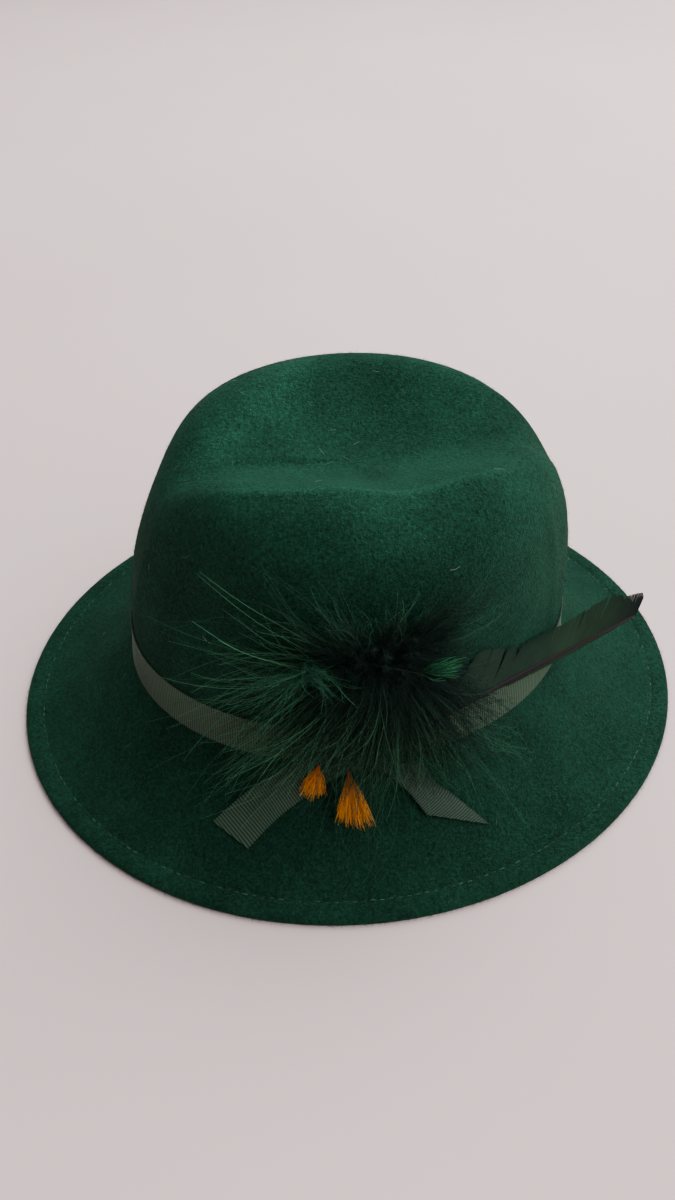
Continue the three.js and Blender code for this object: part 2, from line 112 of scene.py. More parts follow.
def merged_copy(node, name):
    """Own copy of a CAD node with its corners joined and its triangles paired into quads."""
    piece = NODES[node].copy()
    piece.data = NODES[node].data.copy()
    piece.parent = None
    piece.matrix_world = NODES[node].matrix_world.copy()
    bpy.context.collection.objects.link(piece)
    named(piece, name)
    settle(piece)
    most = math.radians(60)
    edit_all(piece, (bpy.ops.mesh.remove_doubles, {"threshold": 0.00001}),
             (bpy.ops.mesh.tris_convert_to_quads, {"face_threshold": most, "shape_threshold": most}))
    piece.data.materials.clear()
    return piece


def points_of(piece):
    count = len(piece.data.vertices)
    flat = np.empty(count * 3)
    piece.data.vertices.foreach_get("co", flat)
    return flat.reshape(count, 3)


def normals_of(piece):
    flat = np.empty(len(piece.data.vertices) * 3)
    piece.data.vertices.foreach_get("normal", flat)
    return flat.reshape(-1, 3)


def set_points(piece, points):
    piece.data.vertices.foreach_set("co", np.asarray(points, dtype=np.float64).ravel())
    piece.data.update()


def set_uv(piece, uv):
    """Writes one UV pair for each point into the map that the materials read."""
    mesh = piece.data
    layer = mesh.uv_layers.active or mesh.uv_layers.new(name=UV_NAME)
    layer.name = UV_NAME
    corners = np.empty(len(mesh.loops), dtype=np.int32)
    mesh.loops.foreach_get("vertex_index", corners)
    layer.data.foreach_set("uv", np.asarray(uv, dtype=np.float64)[corners].ravel())


def mesh_piece(name, points, faces, uv):
    """New piece from arrays of points and faces, with one UV pair for each point."""
    mesh = bpy.data.meshes.new(name)
    mesh.from_pydata([tuple(p) for p in points], [], [tuple(f) for f in faces])
    mesh.update()
    piece = bpy.data.objects.new(name, mesh)
    bpy.context.collection.objects.link(piece)
    set_uv(piece, uv)
    return piece


def edit_all(piece, *steps):
    """Runs mesh tools, each given with its settings, on the whole of a piece."""
    work_on(piece)
    bpy.ops.object.mode_set(mode="EDIT")
    for tool, settings in steps:
        bpy.ops.mesh.select_all(action="SELECT")
        tool(**settings)
    bpy.ops.object.mode_set(mode="OBJECT")
    return piece


def hand_over(piece, material, node=None):
    """Gives a piece its material and slot, hangs it under the root, and hides the solid that it stands for."""
    piece.data.materials.append(material)
    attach(piece, "root")
    if node:
        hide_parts(node)
    return piece


def unit(v):
    """Vectors of length one along the last axis."""
    return v / np.maximum(np.linalg.norm(v, axis=-1, keepdims=True), 1e-12)


def smooth(piece, angle=None):
    work_on(piece)
    if angle is None:
        bpy.ops.object.shade_smooth()
    else:
        bpy.ops.object.shade_smooth_by_angle(angle=math.radians(angle))
    return piece


# Shader groups and materials

def new_group(name, inputs, outputs):
    """Node group with named sockets, and its two end nodes."""
    group = bpy.data.node_groups.new(name, "ShaderNodeTree")
    for label, kind, value in inputs:
        socket = group.interface.new_socket(label, in_out="INPUT", socket_type=kind)
        if value is not None:
            socket.default_value = value
    for label, kind in outputs:
        group.interface.new_socket(label, in_out="OUTPUT", socket_type=kind)
    start = group.nodes.new("NodeGroupInput")
    end = group.nodes.new("NodeGroupOutput")
    return group, start, end


def set_values(node, **values):
    """Sets inputs by name, with an underscore for each space."""
    for label, value in values.items():
        node.inputs[label.replace("_", " ")].default_value = value


class Net:
    """Adds nodes to a tree and links them."""

    def __init__(self, tree):
        self.tree = tree

    def add(self, kind, **settings):
        node = self.tree.nodes.new(kind)
        for key, value in settings.items():
            setattr(node, key, value)
        return node

    def link(self, source, target):
        self.tree.links.new(source, target)

    def feed(self, target, value):
        if hasattr(value, "is_linked"):
            self.link(value, target)
        else:
            target.default_value = value

    def calc(self, operation, a, b, clamp=False):
        node = self.add("ShaderNodeMath", operation=operation, use_clamp=clamp)
        self.feed(node.inputs[0], a)
        self.feed(node.inputs[1], b)
        return node.outputs[0]

    def noise(self, vector, scale, detail=3.0, rough=0.55, distortion=0.0):
        node = self.add("ShaderNodeTexNoise")
        self.feed(node.inputs["Vector"], vector)
        self.feed(node.inputs["Scale"], scale)
        self.feed(node.inputs["Detail"], detail)
        self.feed(node.inputs["Roughness"], rough)
        self.feed(node.inputs["Distortion"], distortion)
        return node.outputs["Fac"]

    def ramp(self, value, stops):
        node = self.add("ShaderNodeValToRGB")
        self.feed(node.inputs["Fac"], value)
        ramp = node.color_ramp
        while len(ramp.elements) < len(stops):
            ramp.elements.new(0.5)
        for element, (place, colour) in zip(ramp.elements, stops):
            element.position = place
            element.color = (*colour, 1.0)
        return node.outputs["Color"]

    def mix(self, share, a, b):
        node = self.add("ShaderNodeMix", data_type="RGBA")
        self.feed(node.inputs[0], share)
        self.feed(node.inputs[6], a)
        self.feed(node.inputs[7], b)
        return node.outputs[2]

    def times(self, colour, factors):
        node = self.add("ShaderNodeVectorMath", operation="MULTIPLY")
        self.link(colour, node.inputs[0])
        node.inputs[1].default_value = factors
        return node.outputs[0]

    def scaled(self, colour, factor):
        node = self.add("ShaderNodeVectorMath", operation="SCALE")
        self.link(colour, node.inputs[0])
        self.link(factor, node.inputs["Scale"])
        return node.outputs[0]

    def object_place(self):
        return self.add("ShaderNodeTexCoord").outputs["Object"]

    def own_map(self):
        """The piece's own map, and its two values apart."""
        uv = self.add("ShaderNodeUVMap", uv_map=UV_NAME)
        split = self.add("ShaderNodeSeparateXYZ")
        self.link(uv.outputs["UV"], split.inputs[0])
        return uv.outputs["UV"], split.outputs[0], split.outputs[1]

    def stretch(self, vector, scale, turn=(0, 0, 0)):
        node = self.add("ShaderNodeMapping")
        self.feed(node.inputs["Vector"], vector)
        node.inputs["Scale"].default_value = scale
        node.inputs["Rotation"].default_value = turn
        return node.outputs[0]


def wool_nap_group():
    """Cloudy tone, crossed fibre streaks and a fine nap height for wool felt."""
    group, start, end = new_group(
        "wool_nap",
        [("Vector", "NodeSocketVector", None), ("Cloud Scale", "NodeSocketFloat", 38.0),
         ("Nap Scale", "NodeSocketFloat", 1100.0)],
        [("Tone", "NodeSocketFloat"), ("Streaks", "NodeSocketFloat"), ("Height", "NodeSocketFloat")],
    )
    net = Net(group)
    where = start.outputs["Vector"]
    cloud = net.noise(where, start.outputs["Cloud Scale"], 5.0, 0.6)
    pebble = net.noise(where, 620.0, 3.0, 0.6)
    nap = net.noise(where, start.outputs["Nap Scale"], 4.0, 0.65)
    streak_sum = None
    for turn, stretch in (((0.3, 0.2, 0.4), (1.0, 0.42, 0.8)), ((0.9, -0.4, 1.5), (0.9, 0.45, 1.0)),
                          ((-0.6, 0.8, 2.4), (0.42, 1.0, 0.9))):
        bent = net.stretch(where, stretch, turn)
        line = net.noise(bent, 1400.0, 2.0, 0.5, 0.8)
        sharp = net.calc("SUBTRACT", line, 0.55)
        sharp = net.calc("MULTIPLY", sharp, 5.0, clamp=True)
        streak_sum = sharp if streak_sum is None else net.calc("MAXIMUM", streak_sum, sharp)
    tone = net.calc("ADD", net.calc("MULTIPLY", cloud, 0.25), net.calc("MULTIPLY", pebble, 0.35))
    tone = net.calc("ADD", tone, net.calc("MULTIPLY", nap, 0.4))
    height = net.calc("ADD", net.calc("MULTIPLY", nap, 0.5), net.calc("MULTIPLY", pebble, 0.6))
    height = net.calc("ADD", height, net.calc("MULTIPLY", streak_sum, 0.35))
    net.link(tone, end.inputs["Tone"])
    net.link(streak_sum, end.inputs["Streaks"])
    net.link(height, end.inputs["Height"])
    return group


def dust_group():
    """Sparse pale specks, as of lint and dust."""
    group, start, end = new_group(
        "lint_specks",
        [("Vector", "NodeSocketVector", None), ("Scale", "NodeSocketFloat", 160.0),
         ("Amount", "NodeSocketFloat", 0.05)],
        [("Specks", "NodeSocketFloat")],
    )
    net = Net(group)
    cells = net.add("ShaderNodeTexVoronoi", feature="F1")
    net.link(start.outputs["Vector"], cells.inputs["Vector"])
    net.link(start.outputs["Scale"], cells.inputs["Scale"])
    near = net.calc("SUBTRACT", start.outputs["Amount"], cells.outputs["Distance"])
    near = net.calc("MULTIPLY", near, 30.0, clamp=True)
    rare = net.calc("GREATER_THAN", net.noise(start.outputs["Vector"], 55.0, 0.0), 0.58)
    net.link(net.calc("MULTIPLY", near, rare), end.inputs["Specks"])
    return group


WOOL_NAP = wool_nap_group()
LINT = dust_group()


def new_material(name):
    """Material with a Principled shader, and the helper for its tree."""
    material = bpy.data.materials.new(name)
    material.use_nodes = True
    net = Net(material.node_tree)
    shader = material.node_tree.nodes["Principled BSDF"]
    return material, net, shader


def place_group(net, group, vector, **values):
    """Puts a shared group into a material's tree."""
    node = net.add("ShaderNodeGroup", node_tree=group)
    net.feed(node.inputs["Vector"], vector)
    set_values(node, **values)
    return node


def bump(net, shader, height, strength, distance):
    node = net.add("ShaderNodeBump")
    set_values(node, Strength=strength, Distance=distance)
    net.link(height, node.inputs["Height"])
    net.link(node.outputs["Normal"], shader.inputs["Normal"])


# Felt: painted highlight that lightens the colour between two heights near the top of the crown, and painted
# highlight along the crest and the front fold of the crown top
FELT_TONES = [(0.39, (0.0032, 0.0136, 0.0082)), (0.5, (0.0064, 0.0294, 0.0178)), (0.61, (0.0116, 0.0560, 0.0334))]
FELT_STREAK = (0.017, 0.094, 0.057, 1.0)
FELT_SPECK = (0.16, 0.25, 0.2, 1.0)
CROWN_PAINTED_LIGHT_FROM, CROWN_PAINTED_LIGHT_TO = 0.108, 0.128
CROWN_PAINTED_LIGHT = (1.06, 1.26, 1.24)
PAINTED_HIGHLIGHT_FACTORS = (1.75, 1.65, 1.72)


def felt_material():
    """Deep green wool felt with a cloudy tone, pale fibre streaks, specks of lint, a soft sheen, and painted
    highlights near the top of the crown and along its crest and front fold.
    """
    material, net, shader = new_material("emerald_felt")
    where = net.object_place()
    nap = place_group(net, WOOL_NAP, where)
    base = net.ramp(nap.outputs["Tone"], FELT_TONES)
    streaks = net.calc("MULTIPLY", nap.outputs["Streaks"], 0.45)
    colour = net.mix(streaks, base, FELT_STREAK)
    specks = place_group(net, LINT, where, Scale=150.0, Amount=0.05)
    colour = net.mix(net.calc("MULTIPLY", specks.outputs["Specks"], 0.5), colour, FELT_SPECK)
    # painted highlight: the colour is lightened between two heights near the top of the crown
    split = net.add("ShaderNodeSeparateXYZ")
    net.link(where, split.inputs[0])
    top = net.add("ShaderNodeMapRange")
    set_values(top, From_Min=CROWN_PAINTED_LIGHT_FROM, From_Max=CROWN_PAINTED_LIGHT_TO, To_Min=0.0, To_Max=1.0)
    net.link(split.outputs[2], top.inputs["Value"])
    colour = net.mix(top.outputs["Result"], colour, net.times(colour, CROWN_PAINTED_LIGHT))
    # painted highlight along the crest and the front fold of the crown, read from a point attribute
    painted_highlight = net.add("ShaderNodeAttribute", attribute_name=PAINTED_HIGHLIGHT_NAME)
    colour = net.mix(painted_highlight.outputs["Fac"], colour, net.times(colour, PAINTED_HIGHLIGHT_FACTORS))
    net.link(colour, shader.inputs["Base Color"])
    rough = net.calc("ADD", 0.86, net.calc("MULTIPLY", nap.outputs["Tone"], 0.12))
    net.link(rough, shader.inputs["Roughness"])
    set_values(shader, Specular_IOR_Level=0.05, Sheen_Weight=0.07, Sheen_Roughness=0.5,
               Sheen_Tint=(0.20, 0.85, 0.50, 1.0))
    bump(net, shader, nap.outputs["Height"], 0.9, 0.0011)
    return material


def fibre_material(name, root, tip, rough=0.7, sheen=0.2, spread=0.35):
    """Colour runs from root to tip along the first UV value and varies from strand to strand by the second."""
    material, net, shader = new_material(name)
    _, along, strand = net.own_map()
    colour = net.mix(along, (*root, 1.0), (*tip, 1.0))
    tone = net.calc("ADD", 1.0 - spread, net.calc("MULTIPLY", strand, 2 * spread))
    net.link(net.scaled(colour, tone), shader.inputs["Base Color"])
    set_values(shader, Roughness=rough, Specular_IOR_Level=0.10, Sheen_Weight=sheen, Sheen_Tint=(*tip, 1.0))
    return material


def ribbon_material(name, dark, light, warm):
    """Ribbed ribbon: painted shade in the grooves between the ribs, a fine thread twist, and a slow change of tone.
    """
    material, net, shader = new_material(name)
    uv, along, _ = net.own_map()
    turns = net.calc("MULTIPLY", along, 2 * math.pi / RIB_PITCH)
    wave = net.calc("COSINE", turns, 0.0)
    rib = net.calc("ADD", net.calc("MULTIPLY", wave, 0.5), 0.5)
    fine = net.stretch(uv, (1.0, 0.35, 1.0))
    thread = net.noise(fine, 5200.0, 2.0, 0.6)
    slow = net.noise(net.object_place(), 60.0, 3.0, 0.5)
    # painted shade in the grooves and painted light on the ribs, mixed with a real fine thread twist
    share = net.calc("ADD", net.calc("MULTIPLY", rib, 0.72), net.calc("MULTIPLY", thread, 0.28), clamp=True)
    colour = net.mix(share, (*dark, 1.0), (*light, 1.0))
    colour = net.mix(net.calc("MULTIPLY", slow, 0.36), colour, (*warm, 1.0))
    net.link(colour, shader.inputs["Base Color"])
    rough = net.calc("SUBTRACT", 0.72, net.calc("MULTIPLY", rib, 0.2))
    net.link(rough, shader.inputs["Roughness"])
    set_values(shader, Specular_IOR_Level=0.25, Sheen_Weight=0.12, Sheen_Roughness=0.35,
               Sheen_Tint=(0.55, 1.0, 0.7, 1.0))
    height = net.calc("ADD", net.calc("MULTIPLY", rib, 0.6), net.calc("MULTIPLY", thread, 0.4))
    bump(net, shader, height, 0.5, 0.0002)
    return material


def vane_material():
    """Grey green vane that darkens to its tip, with fine lines along the barbs and a weak gloss."""
    material, net, shader = new_material("feather_vane")
    uv, _, share = net.own_map()
    colour = net.ramp(share, [
        (0.25, (0.014, 0.037, 0.024)), (0.45, (0.010, 0.031, 0.019)), (0.62, (0.014, 0.042, 0.020)),
        (0.84, (0.008, 0.026, 0.013)), (1.0, (0.002, 0.008, 0.007))])
    cloud = net.noise(net.object_place(), 140.0, 3.0, 0.6)
    tone = net.calc("ADD", 0.6, net.calc("MULTIPLY", cloud, 0.8))
    net.link(net.scaled(colour, tone), shader.inputs["Base Color"])
    set_values(shader, Roughness=0.62, Specular_IOR_Level=0.12)
    fine = net.stretch(uv, (1.0, 900.0, 1.0))
    bump(net, shader, net.noise(fine, 3.0, 2.0, 0.5), 0.35, 0.0001)
    return material


FELT = felt_material()
VANE = vane_material()
FELT_FUZZ = fibre_material("felt_fuzz_fibre", (0.004, 0.030, 0.018), (0.017, 0.100, 0.060), 0.9, 0.1, 0.85)
RIBBON_BAND = ribbon_material("ribbed_ribbon", (0.008, 0.017, 0.010), (0.098, 0.180, 0.116),
                              (0.036, 0.050, 0.028))
RIBBON_END = ribbon_material("ribbed_ribbon_ends", (0.002, 0.008, 0.005), (0.070, 0.140, 0.086),
                             (0.018, 0.038, 0.020))
# painted shade: the back end gets a darker copy of the ribbon end colours
RIBBON_BACK_END_PAINTED_SHADE = ribbon_material("ribbed_ribbon_back_end_painted_shade", (0.001, 0.005, 0.003), (0.048, 0.100, 0.063),
                                  (0.012, 0.024, 0.014))
DOWN_DARK = fibre_material("dark_down", (0.004, 0.009, 0.008), (0.012, 0.031, 0.024), 0.85, 0.1)
DOWN_GREEN = fibre_material("green_down", (0.004, 0.015, 0.009), (0.058, 0.225, 0.108), 0.55, 0.0, 0.9)
DOWN_MIDDLE = fibre_material("middle_down", (0.003, 0.009, 0.006), (0.040, 0.155, 0.076), 0.55, 0.0, 0.9)
DOWN_DEEP = fibre_material("deep_down", (0.003, 0.009, 0.007), (0.012, 0.047, 0.029), 0.7, 0.0, 0.7)
DOWN_BRIGHT = fibre_material("bright_down", (0.005, 0.032, 0.019), (0.050, 0.22, 0.118), 0.55, 0.1, 0.6)
DOWN_HAIR = fibre_material("down_hair", (0.009, 0.036, 0.023), (0.040, 0.150, 0.080), 0.6, 0.1)
HACKLE = fibre_material("bright_hackle", (0.005, 0.020, 0.012), (0.020, 0.150, 0.062), 0.5, 0.1, 0.7)
ORANGE = fibre_material("orange_barb", (0.52, 0.115, 0.010), (1.0, 0.43, 0.035), 0.5, 0.2, 0.4)
SHAFT = fibre_material("feather_shaft_horn", (0.013, 0.008, 0.010), (0.013, 0.008, 0.010), 0.45, 0.0)
THREAD = fibre_material("tie_thread_fibre", (0.014, 0.022, 0.016), (0.014, 0.022, 0.016), 0.7, 0.1)
LINT_FIBRE = fibre_material("lint_fibre", (0.14, 0.22, 0.17), (0.20, 0.30, 0.24), 0.9, 0.1, 0.5)
STITCH = fibre_material("seam_thread", (0.034, 0.078, 0.054), (0.052, 0.108, 0.076), 0.85, 0.0, 0.6)


# Felt crown and brim

# Soft upright folds of the crown wall: plan direction and half width in degrees, rise in metres. They lie
# between two heights
WALL_FOLDS = ((61.0, 2.6, 0.0010), (78.0, 9.0, 0.0016), (-80.0, 3.0, 0.0008), (20.0, 7.0, 0.0004))
FOLDS_FROM, FOLDS_TO = 0.055, 0.122
# The stretch of the dent whose steep inner slope is evened out
DENT_FLOOR, DENT_HALF_WIDTH, DENT_HALF_LENGTH = 0.098, 0.031, 0.072
# Ridge of the crown next to the trim: its ends, lift, dip beside it and painted highlight, each with its half width
CREST_FROM, CREST_TO = -0.062, 0.066
CREST_RISE, CREST_RISE_WIDTH = 0.0011, 0.0027
CREST_DIP, CREST_DIP_WIDTH = 0.0004, 0.0065
CREST_PAINTED_LIGHT, CREST_PAINTED_LIGHT_WIDTH = 0.45, 0.0035
# Slanting fold on the front of the crown top: both ends of its line in plan, its rise, and the half widths of
# the fold and of its painted highlight
FRONT_FOLD = (np.array([-0.034, -0.015]), np.array([-0.004, -0.058]))
FRONT_FOLD_RISE, FRONT_FOLD_WIDTH, FRONT_FOLD_PAINTED_LIGHT_WIDTH = 0.0015, 0.009, 0.0085


def felt_body():
    """Felt crown and brim: finer surface of the blocked form, the seam groove and the unevenness of the hand."""
    piece = merged_copy("felt_body", "felt_hat")
    finer = piece.modifiers.new("finer", "SUBSURF")
    finer.levels = 2
    finer.render_levels = 2
    apply_modifiers(piece)
    p = points_of(piece)
    normals = normals_of(piece)
    reach = plan_reach(p[:, 0], p[:, 1])
    facing_up = normals[:, 2] > 0.3
    from_edge = BRIM_WIDTH - FOOT_FLARE - reach
    groove = np.exp(-((from_edge - STITCH_IN) / GROOVE_HALF_WIDTH) ** 2) * (p[:, 2] < 0.02) * facing_up
    p = p - normals * (GROOVE_DEPTH * groove)[:, None]
    free = np.clip((p[:, 2] - 0.0045) / 0.01, 0, 1)
    side = np.degrees(np.arctan2(p[:, 1], p[:, 0]))
    tall = np.clip((p[:, 2] - FOLDS_FROM) / 0.012, 0, 1) * np.clip((FOLDS_TO - p[:, 2]) / 0.02, 0, 1)
    for place, wide, rise in WALL_FOLDS:
        fold = np.exp(-((side - place) / wide) ** 2) - 0.4 * np.exp(-((side - place) / (2.6 * wide)) ** 2)
        away = unit(p * np.array([1.0, 1.0, 0.0]))
        p = p + away * (rise * fold * tall)[:, None]
    swell = (np.sin(31 * p[:, 0] + 1.3) * np.cos(27 * p[:, 1] - 0.4) + 0.6 * np.sin(55 * p[:, 1] + 18 * p[:, 0])
             + 0.5 * np.cos(70 * p[:, 0] - 41 * p[:, 2]))
    p = p + normals * (UNEVENNESS * swell * free)[:, None]
    set_points(piece, p)
    soften_dent(piece, p)
    painted_highlight = np.maximum(raise_crest(piece), turn_front_fold(piece))
    store = piece.data.attributes.new(PAINTED_HIGHLIGHT_NAME, "FLOAT", "POINT")
    store.data.foreach_set("value", painted_highlight.astype(np.float32))
    smooth(piece)
    return hand_over(piece, FELT, "felt_body")


def soften_dent(piece, points):
    """Evens out the steep inner slope of the crown dent."""
    within = ((points[:, 2] > DENT_FLOOR) & (np.abs(points[:, 0]) < DENT_HALF_WIDTH)
              & (np.abs(points[:, 1]) < DENT_HALF_LENGTH))
    group = piece.vertex_groups.new(name="dent")
    group.add(np.nonzero(within)[0].tolist(), 1.0, "REPLACE")
    even = piece.modifiers.new("even", "SMOOTH")
    even.vertex_group = "dent"
    even.factor = 0.6
    even.iterations = 14
    apply_modifiers(piece)
    piece.vertex_groups.clear()


def raise_crest(piece):
    """Lifts the ridge of the crown next to the trim to a firmer fold. Gives the share of painted highlight along it.
    """
    p = points_of(piece)
    normals = normals_of(piece)
    outer = (normals[:, 2] > 0.1) & (p[:, 0] > 0.012) & (p[:, 2] > 0.1)
    stations = np.linspace(CREST_FROM, CREST_TO, 33)
    line = []
    for station in stations:
        near = np.nonzero(outer & (np.abs(p[:, 1] - station) < 0.003))[0]
        line.append(p[near[p[near, 2].argmax()]])
    line = np.array(line)
    kernel = np.ones(5) / 5
    x, z = (np.convolve(np.pad(line[:, k], 2, mode="edge"), kernel, mode="valid") for k in (0, 2))
    off = np.hypot(p[:, 0] - np.interp(p[:, 1], stations, x), p[:, 2] - np.interp(p[:, 1], stations, z))
    ends = np.clip((p[:, 1] + 0.066) / 0.02, 0, 1) * np.clip((0.070 - p[:, 1]) / 0.02, 0, 1)
    rise = CREST_RISE * np.exp(-(off / CREST_RISE_WIDTH) ** 2) - CREST_DIP * np.exp(-(off / CREST_DIP_WIDTH) ** 2)
    set_points(piece, p + normals * (rise * ends * outer)[:, None])
    # painted highlight: how much the colour is lightened beside the crest line
    return CREST_PAINTED_LIGHT * np.exp(-(off / CREST_PAINTED_LIGHT_WIDTH) ** 2) * ends * outer


def turn_front_fold(piece):
    """Turns the soft slanting fold of the front: a low rise beside a line, a fall past it. Gives the share of painted
    highlight along it.
    """
    p = points_of(piece)
    normals = normals_of(piece)
    start, end = FRONT_FOLD
    run = unit(end - start)
    aside = np.array([-run[1], run[0]])
    from_line = (p[:, :2] - start) @ aside
    share = (p[:, :2] - start) @ run / np.linalg.norm(end - start)
    ends = np.clip((share + 0.25) / 0.35, 0, 1) * np.clip((1.25 - share) / 0.35, 0, 1)
    outer = (normals[:, 2] > 0.15) & (p[:, 2] > 0.1)
    far = from_line / FRONT_FOLD_WIDTH
    rise = -FRONT_FOLD_RISE * far * np.exp(-far ** 2)
    set_points(piece, p + normals * (rise * ends * outer)[:, None])
    # painted highlight: how much the colour is lightened beside the fold line
    return np.exp(-(from_line / FRONT_FOLD_PAINTED_LIGHT_WIDTH) ** 2) * ends * outer


def plan_reach(x, y):
    """Distance of plan points outside the crown foot, measured as the brim grows, found by halving."""
    low = np.full(np.shape(x), -0.07)
    high = np.full(np.shape(x), 0.07)
    for _ in range(30):
        middle = (low + high) / 2
        share = np.hypot(x / (FOOT_WIDTH / 2 + FOOT_FLARE + middle), y / (FOOT_LENGTH / 2 + FOOT_FLARE + middle))
        outside = share > 1
        low = np.where(outside, middle, low)
        high = np.where(outside, high, middle)
    return (low + high) / 2


HAT = felt_body()
HAT_TREE = BVHTree.FromObject(HAT, bpy.context.evaluated_depsgraph_get())


def brim_top(x, y):
    """Height of the upper felt surface of the brim under a plan point."""
    hit = HAT_TREE.ray_cast(Vector((x, y, 0.2)), Vector((0, 0, -1)))
    return hit[0].z if hit[0] else 0.0


def wall_point(side, z):
    """Outer surface of the crown wall in the plan direction side at the height z, with its normal."""
    out = Vector((math.cos(side), math.sin(side), 0))
    hit = HAT_TREE.ray_cast(out * 0.2 + Vector((0, 0, z)), -out)
    return hit[0], hit[1]


def lift_off(points, gap):
    """Moves points that lie inside the felt, or nearer to it than the gap, outwards, and off the brim upwards."""
    flat = points.reshape(-1, 3)
    gaps = np.broadcast_to(gap, points.shape[:-1]).ravel()
    for i, (p, room) in enumerate(zip(flat, gaps)):
        near, normal, _, _ = HAT_TREE.find_nearest(Vector(p), LIFT_REACH)
        if near is None:
            continue
        if normal.z < -0.2 and near.z < 0.05:
            flat[i, 2] = max(p[2], brim_top(p[0], p[1]) + room)
            continue
        side = (Vector(p) - near).dot(normal)
        if side < room:
            flat[i] = np.array(near + normal * room)
    return flat.reshape(points.shape)


# Ribbon band and loose ends

def rungs(lower, upper):
    """Steps from one edge line to the other, the strip's run there, their slant along it and width across it."""
    span = upper - lower
    run = unit(np.gradient(0.5 * (lower + upper), axis=0))
    slant = (span * run).sum(1)
    return span, run, slant, np.linalg.norm(span - run * slant[:, None], axis=1)


def ribbon_grid(name, lower, upper, lengths, material, away, middle=None, rows=5):
    """Ribbed strip between two edge lines that faces away; a middle line bends it across its width."""
    count = len(lower)
    bpy.ops.mesh.primitive_grid_add(x_subdivisions=count - 1, y_subdivisions=rows, size=1.0)
    piece = named(bpy.context.object, name)
    grid = points_of(piece)
    column = np.rint((grid[:, 0] + 0.5) * (count - 1)).astype(int)
    across = grid[:, 1] + 0.5
    centre = 0.5 * (lower + upper)
    span, run, slant, wide = rungs(lower, upper)
    along = lengths[column] + slant[column] * (across - 0.5)
    phase = 2 * math.pi * along / RIB_PITCH
    inset = (across - 0.5) * 2
    widen = np.sign(inset) * (np.abs(inset) > 0.98) * EDGE_SCALLOP * np.cos(phase)
    place = lower[column] + span[column] * (across + widen / wide[column])[:, None]
    if middle is not None:
        place = place + (middle - centre)[column] * (4 * across * (1 - across))[:, None]
    facing = unit(np.cross(span, run))
    facing *= np.sign((facing * away).sum(1).mean())
    place = place + facing[column] * (RIB_HEIGHT * np.cos(phase))[:, None]
    set_points(piece, place)
    set_uv(piece, np.stack([along, across * wide[column]], axis=1))
    if np.dot(piece.data.polygons[0].normal, facing[0]) < 0:
        edit_all(piece, (bpy.ops.mesh.flip_normals, {}))
    thick = piece.modifiers.new("thick", "SOLIDIFY")
    thick.thickness = RIBBON_THICK
    thick.offset = -1.0
    apply_modifiers(piece)
    smooth(piece, 50)
    return hand_over(piece, material)


def hat_band():
    """Ribbon laid round the foot of the crown, its two edges following the felt wall."""
    turns = np.linspace(0, 2 * math.pi, 721)
    rough = [wall_point(t, BAND_BOTTOM + RIBBON_HEIGHT / 2)[0] for t in turns]
    steps = np.array([0.0] + [(b - a).length for a, b in zip(rough, rough[1:])]).cumsum()
    around = int(round(steps[-1] / RIB_PITCH)) * 4
    lengths = np.arange(around + 1) / 4 * (steps[-1] / (around / 4))
    sides = np.interp(lengths, steps, turns)
    lines = []
    for share in (0.0, 0.5, 1.0):
        line = []
        for side in sides:
            touch, normal = wall_point(side, BAND_BOTTOM + RIBBON_HEIGHT * share)
            line.append(touch + normal * (RIBBON_GAP + RIBBON_THICK))
        lines.append(np.array(line))
    away = lines[1] * np.array([1.0, 1.0, 0.0])
    piece = ribbon_grid("ribbon_band", lines[0], lines[2], lengths, RIBBON_BAND, away, middle=lines[1])
    edit_all(piece, (bpy.ops.mesh.remove_doubles, {"threshold": 0.00002}))
    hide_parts("hat_band")
    return piece


def smooth_line(rows, count):
    """Even curve through rows of points."""
    rows = np.asarray(rows, dtype=float)
    at = np.linspace(0, 1, len(rows))
    share = np.linspace(0, 1, count)
    padded = np.vstack([2 * rows[0] - rows[1], rows, 2 * rows[-1] - rows[-2]])
    out = []
    for t in share:
        k = min(int(t * (len(rows) - 1)), len(rows) - 2)
        u = t * (len(rows) - 1) - k
        a, b, c, d = padded[k:k + 4]
        out.append(0.5 * ((2 * b) + (c - a) * u + (2 * a - 5 * b + 4 * c - d) * u * u
                          + (3 * b - a - 3 * c + d) * u ** 3))
    return np.array(out)


# Loose ribbon ends: plan place of both edges and their height over the brim, in mm
FRONT_END = [
    ((83.6, -10.0, 19.5), (85.2, -9.6, 3.4)), ((83.4, -24.0, 15.5), (86.6, -22.0, 2.4)),
    ((82.4, -39.0, 9.5), (90.2, -35.0, 2.1)), ((82.2, -55.0, 2.6), (94.4, -46.5, 1.6)),
    ((87.9, -71.1, 1.0), (100.9, -58.3, 1.0)),
]
BACK_END = [
    ((90.0, 14.0, 14.0), (90.0, -4.0, 12.0)), ((92.2, 19.0, 4.4), (90.6, 1.5, 7.4)),
    ((95.5, 26.0, 1.6), (94.2, 7.5, 4.4)), ((100.6, 33.0, 1.1), (98.4, 11.5, 3.2)),
    ((106.6, 39.6, 1.0), (102.2, 14.6, 2.2)),
]


